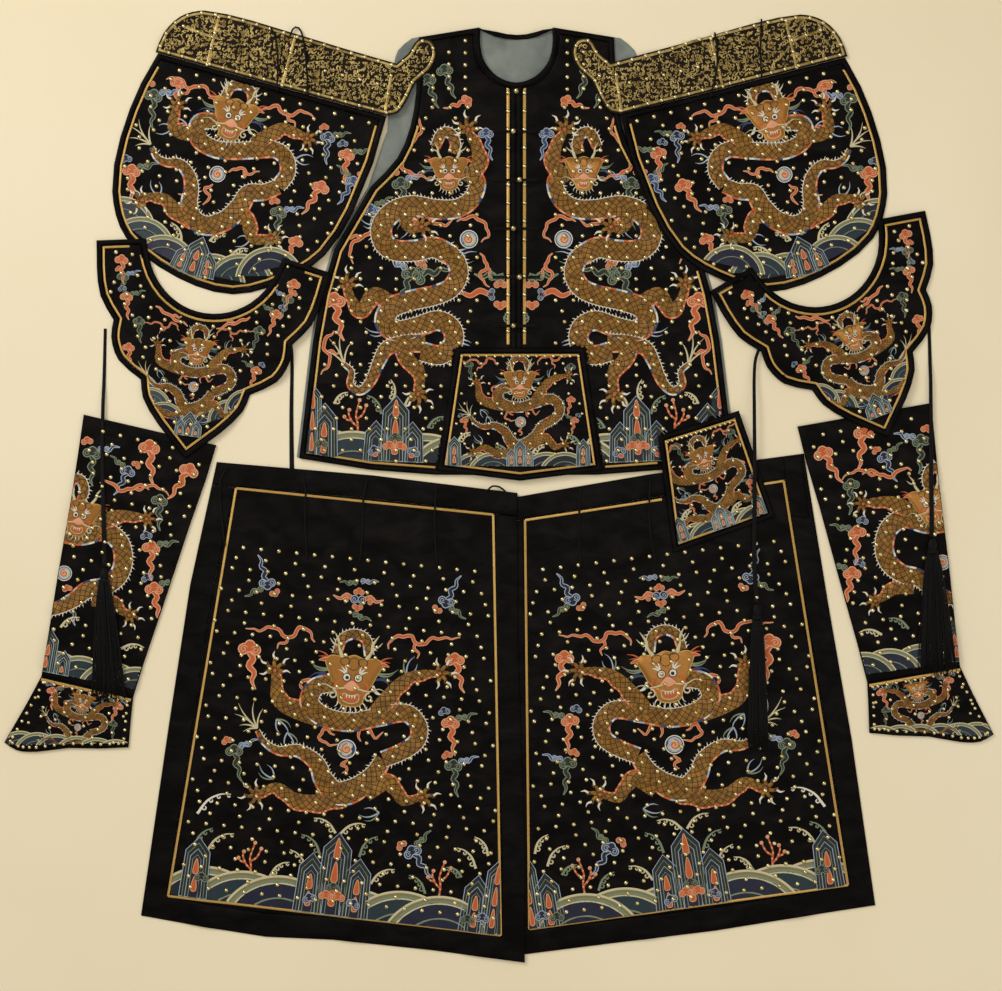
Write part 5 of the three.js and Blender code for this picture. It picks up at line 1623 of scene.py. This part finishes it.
rng = np.random.default_rng(11)
for side, *where in GUARD_PLACES:
    name = f"shoulder_plate_{side}"
    lay_backing(name)
    whole, work = panel(name, *where)
    rim, bars = plate_design(whole, work, rng)
    piece = whole.finish(f"{name}_net")
    piece.data.materials.clear()
    piece.data.materials.append(GILT)
    piece.data.polygons.foreach_set("material_index", np.zeros(len(piece.data.polygons), np.int32))
    lines = (*bars, ((49, 45), (168, 47)))
    studs = [along(np.concatenate([rim, rim[:1]]), 23.0)[:-1]]
    studs += [work.place(along(np.array(line, float), STUD_PITCH)) for line in lines]
    sew_studs(f"{name}_studs", name, np.concatenate(studs), diameter=6.4)


# Closures.
# Frogs of doubled black silk cord meet over the front edges, each with a gilt ball button.
def cord_material():
    """Braided black silk: a dull shine, with strands that wind round the cord every 2 mm."""
    material, tree, shader = new_material("braided black silk")
    uv = put(tree, "ShaderNodeUVMap", uv_map="stitch")
    wind = put(tree, "ShaderNodeTexWave", {"Vector": uv.outputs["UV"], "Scale": 0.16, "Distortion": 0.4},
               bands_direction="DIAGONAL")
    tone = put(tree, "ShaderNodeValToRGB", {"Fac": wind.outputs["Fac"]})
    tone.color_ramp.elements[0].color = linear("#030304")
    tone.color_ramp.elements[1].color = linear("#0a090b")
    bump = put(tree, "ShaderNodeBump", {"Height": wind.outputs["Fac"], "Strength": 0.6, "Distance": 0.0006})
    dress(shader, Base_Color=tone.outputs["Color"], Normal=bump.outputs["Normal"], Roughness=0.5,
          Specular_IOR_Level=0.12, Sheen_Weight=0.03)
    return material


SILK_CORD = cord_material()


def tubes(name, lines, wide, tall, around=8):
    """Joined closed tubes along 3-D lines: an ellipse wide by tall stands across each line, and each end
    is closed by a point. Wide and tall may change along a line."""
    points, quads, fans, coords, tips = [], [], [], [], []
    shift = 0
    a = np.arange(around) * 2 * np.pi / around
    k = np.arange(around)
    for line in lines:
        n = len(line)
        tangent = np.gradient(line, axis=0)
        tangent /= np.linalg.norm(tangent, axis=1)[:, None]
        side = np.column_stack([-tangent[:, 1], tangent[:, 0], np.zeros(n)])
        side /= np.maximum(np.linalg.norm(side, axis=1), 1e-6)[:, None]
        up = np.cross(tangent, side)
        w, t = (np.broadcast_to(v, n)[:, None, None] / 2 for v in (wide, tall))
        ring = line[:, None] + w * np.cos(a)[:, None] * side[:, None] + t * np.sin(a)[:, None] * up[:, None]
        run = run_of(line)
        i, j = (v.ravel() for v in np.meshgrid(np.arange(n - 1), k, indexing="ij"))
        ahead = (j + 1) % around
        points += [ring.reshape(-1, 3), line[:1] - 0.3 * tangent[:1], line[-1:] + 0.3 * tangent[-1:]]
        quads.append(np.column_stack([i * around + j, i * around + ahead, (i + 1) * around + ahead,
                                      (i + 1) * around + j]) + shift)
        first, last = n * around, n * around + 1
        fans += [np.column_stack([(k + 1) % around, k, np.full(around, first)]) + shift,
                 np.column_stack([(n - 1) * around + k, (n - 1) * around + (k + 1) % around,
                                  np.full(around, last)]) + shift]
        coords.append(np.stack([np.stack([run[i], j], -1), np.stack([run[i], j + 1.0], -1),
                                np.stack([run[i + 1], j + 1.0], -1),
                                np.stack([run[i + 1], j + 0.0], -1)], 1))
        tips.append(np.tile([[0.0, 0.0]], (6 * around, 1)))
        shift += n * around + 2
    piece = mesh_object(name, np.concatenate(points), [np.concatenate(quads), np.concatenate(fans)])
    layer = piece.data.uv_layers.new(name="stitch")
    layer.data.foreach_set("uv", np.concatenate([np.concatenate(coords).reshape(-1, 2), *tips]).ravel())
    piece.data.materials.append(SILK_CORD)
    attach(piece, "root")
    return piece


for k in range(1, 6):
    low, high = (np.array(corner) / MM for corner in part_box(f"frog_{k}"))
    level, middle = (low[2] + high[2]) / 2, (low[1] + high[1]) / 2
    x = np.linspace(low[0] + 1, high[0] - 1, 15)
    top = height_field([f"frog_{k}"], 1, 0)
    lines = [np.column_stack([x, middle + off + 0.25 * np.sin(x / 5 + off),
                              top(x, np.full(15, middle)) - 0.9])
             for off in (-1.25, 1.25)]
    knot = np.array([(-5, 0), (-2, 2.2), (2, 2.2), (5, 0), (2, -2.2), (-2, -2.2), (-5, 0)])
    loop = smooth(knot + ((low[0] + high[0]) / 2, middle), 1.6)
    lines.append(np.column_stack([loop, top(*loop.T) + 0.2]))
    piece = tubes(f"frog_{k}_cords", lines, 2.2, 2.0)
    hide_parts(f"frog_{k}")
for k in range(1, 7):
    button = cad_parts[f"button_{k}"]
    for slot in button.material_slots:
        slot.material = BRASS


# Cords, ties and tassels.
# Round silk cords lace the plates and hang at the waist; flat silk ties hold the armpit guards, and
# three of them end in tassels of silk twist bound under a knot.
PLAY = 0.1  # height of a cord over what it lies on


def route(points, node, radius):
    """A cord's line: smooth in plan, lying on its node's bed and over the stitches under it."""
    flat = smooth(np.array(points, float) + SHIFT, 6.0)
    bed = height_field([node], -1, 0)
    over = np.convolve(np.pad(raised(*flat.T), 2, mode="edge"), np.ones(5) / 5, mode="valid")
    return np.column_stack([flat, bed(*flat.T) + over + radius + PLAY])


CORD = 3.0  # diameter of the round cords
TIE = (8.0, 1.5)  # width and thickness of the flat ties


def free_cord(name, line, wide, tall, far_end, diameter, **more):
    piece = tubes(f"{name}_silk", [line], wide, tall)
    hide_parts(name)


def round_cord(name, points):
    """A round cord with cut ends, laid through the points."""
    free_cord(name, route(points, name, CORD / 2), CORD, CORD, "bare", CORD * MM)


SHOULDER_CORDS = {
    "left_1": ((-379, 758), (-371, 742), (-367, 700), (-368, 652)),
    "left_2": ((-347, 744), (-341, 757), (-332, 757), (-325, 738), (-319, 690), (-317, 646)),
    "right_1": ((353, 750), (357, 722), (356, 690), (346, 642)),
    "right_2": ((430, 772), (429, 741), (428, 710), (430, 676)),
}
WAIST_CORDS = (
    ((-450, 34), (-462, 8), (-460, -40), (-454, -96)), ((-326, 24), (-321, -10), (-322, -60), (-319, -116)),
    ((-220, 14), (-226, -20), (-227, -70), (-232, -122)), ((-106, 4), (-108, -40), (-108, -80),
                                                           (-104, -134)),
    ((-22, -6), (-14, 2), (0, 0), (10, -12), (6, -34)), ((132, -2), (130, -30), (129, -80), (132, -130)),
    ((246, 12), (245, -30), (247, -80), (256, -124)),
)
TIES = {
    "left_outer": ((-652, 262), (-653, 215), (-656, 60), (-653, -60), (-652, -132)),
    "left_inner": ((-349, 250), (-344, 215), (-345, 120), (-344, 8)),
    "right_outer": ((700, 315), (707, 258), (709, 120), (709, 0), (710, -84)),
    "right_inner": ((427, 232), (418, 190), (418, 40), (418, -110), (422, -192)),
}
for key, points in SHOULDER_CORDS.items():
    round_cord(f"shoulder_cord_{key}", points)
for k, points in enumerate(WAIST_CORDS, 1):
    round_cord(f"waist_cord_{k}", points)


STRANDS = 90
NECK = 14.0  # width of a tassel's strands under its knot
FAN_LAYERS = 4


def tassel(name, end, width, lean):
    """A laid tassel: strands fan out from the knot's neck to the spread at their ends, in layers,
    under a knot of wound cord."""
    rng = np.random.default_rng(len(name) + STRANDS)
    bed = height_field([name], -1, 2)
    low, high = (np.array(corner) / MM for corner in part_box(name))
    x, top = end[0] + SHIFT[0], high[1] - 18
    t = np.linspace(0, 1, 8)
    lines = []
    for k in range(STRANDS):
        share = rng.uniform(-0.5, 0.5)
        layer = k % FAN_LAYERS
        long = (top - low[1]) - rng.uniform(0, 16) - 3 * layer
        fan = share * (NECK + (width - NECK) * t ** 0.7)
        px = x + lean * t + fan + rng.uniform(-1.5, 1.5) * np.sin(3 * t + k)
        py = top - t * long
        over = np.convolve(np.pad(raised(px, py), 1, mode="edge"), np.ones(3) / 3, mode="valid")
        lines.append(np.column_stack([px, py, bed(px, py) + over + 0.9 + layer + 2.4 * (1 - t)]))
    skirt = tubes(f"{name}_strands", lines, np.interp(t, (0, 0.8, 1), (1.9, 1.9, 1.2)), 1.5, 5)
    turns = np.linspace(0, 1, 9)
    heart = bed(np.array([x]), np.array([top + 8]))[0] + 5.6
    knot = np.column_stack([np.full(9, x), top + 19 - 22 * turns, np.full(9, heart)])
    across = 15 * np.sin(np.pi * (0.08 + 0.84 * turns)) ** 0.6
    head = tubes(f"{name}_knot", [knot], across, 0.68 * across, 14)
    collar = np.column_stack([np.full(5, x), np.linspace(top + 1, top - 5, 5), np.full(5, heart - 0.4)])
    band = tubes(f"{name}_collar", [collar], 15.5, 9.5, 14)
    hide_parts(name)
    return head, band


TASSELS = {"left": ("left_outer", 58, 7), "right": ("right_outer", 62, 8), "middle": ("right_inner", 34, 2)}
ends = {tie: tassel(f"tassel_{key}", TIES[tie][-1], width, lean) for key,
        (tie, width, lean) in TASSELS.items()}
for key, points in TIES.items():
    name = f"guard_tie_{key}"
    line = route(points, name, TIE[1] / 2)
    end = {"far_end": "knot", "with_pieces": ends[key]} if key in ends else {"far_end": "bare"}
    free_cord(name, line, np.linspace(5, TIE[0], len(line)), TIE[1], diameter=TIE[0] * MM, **end)
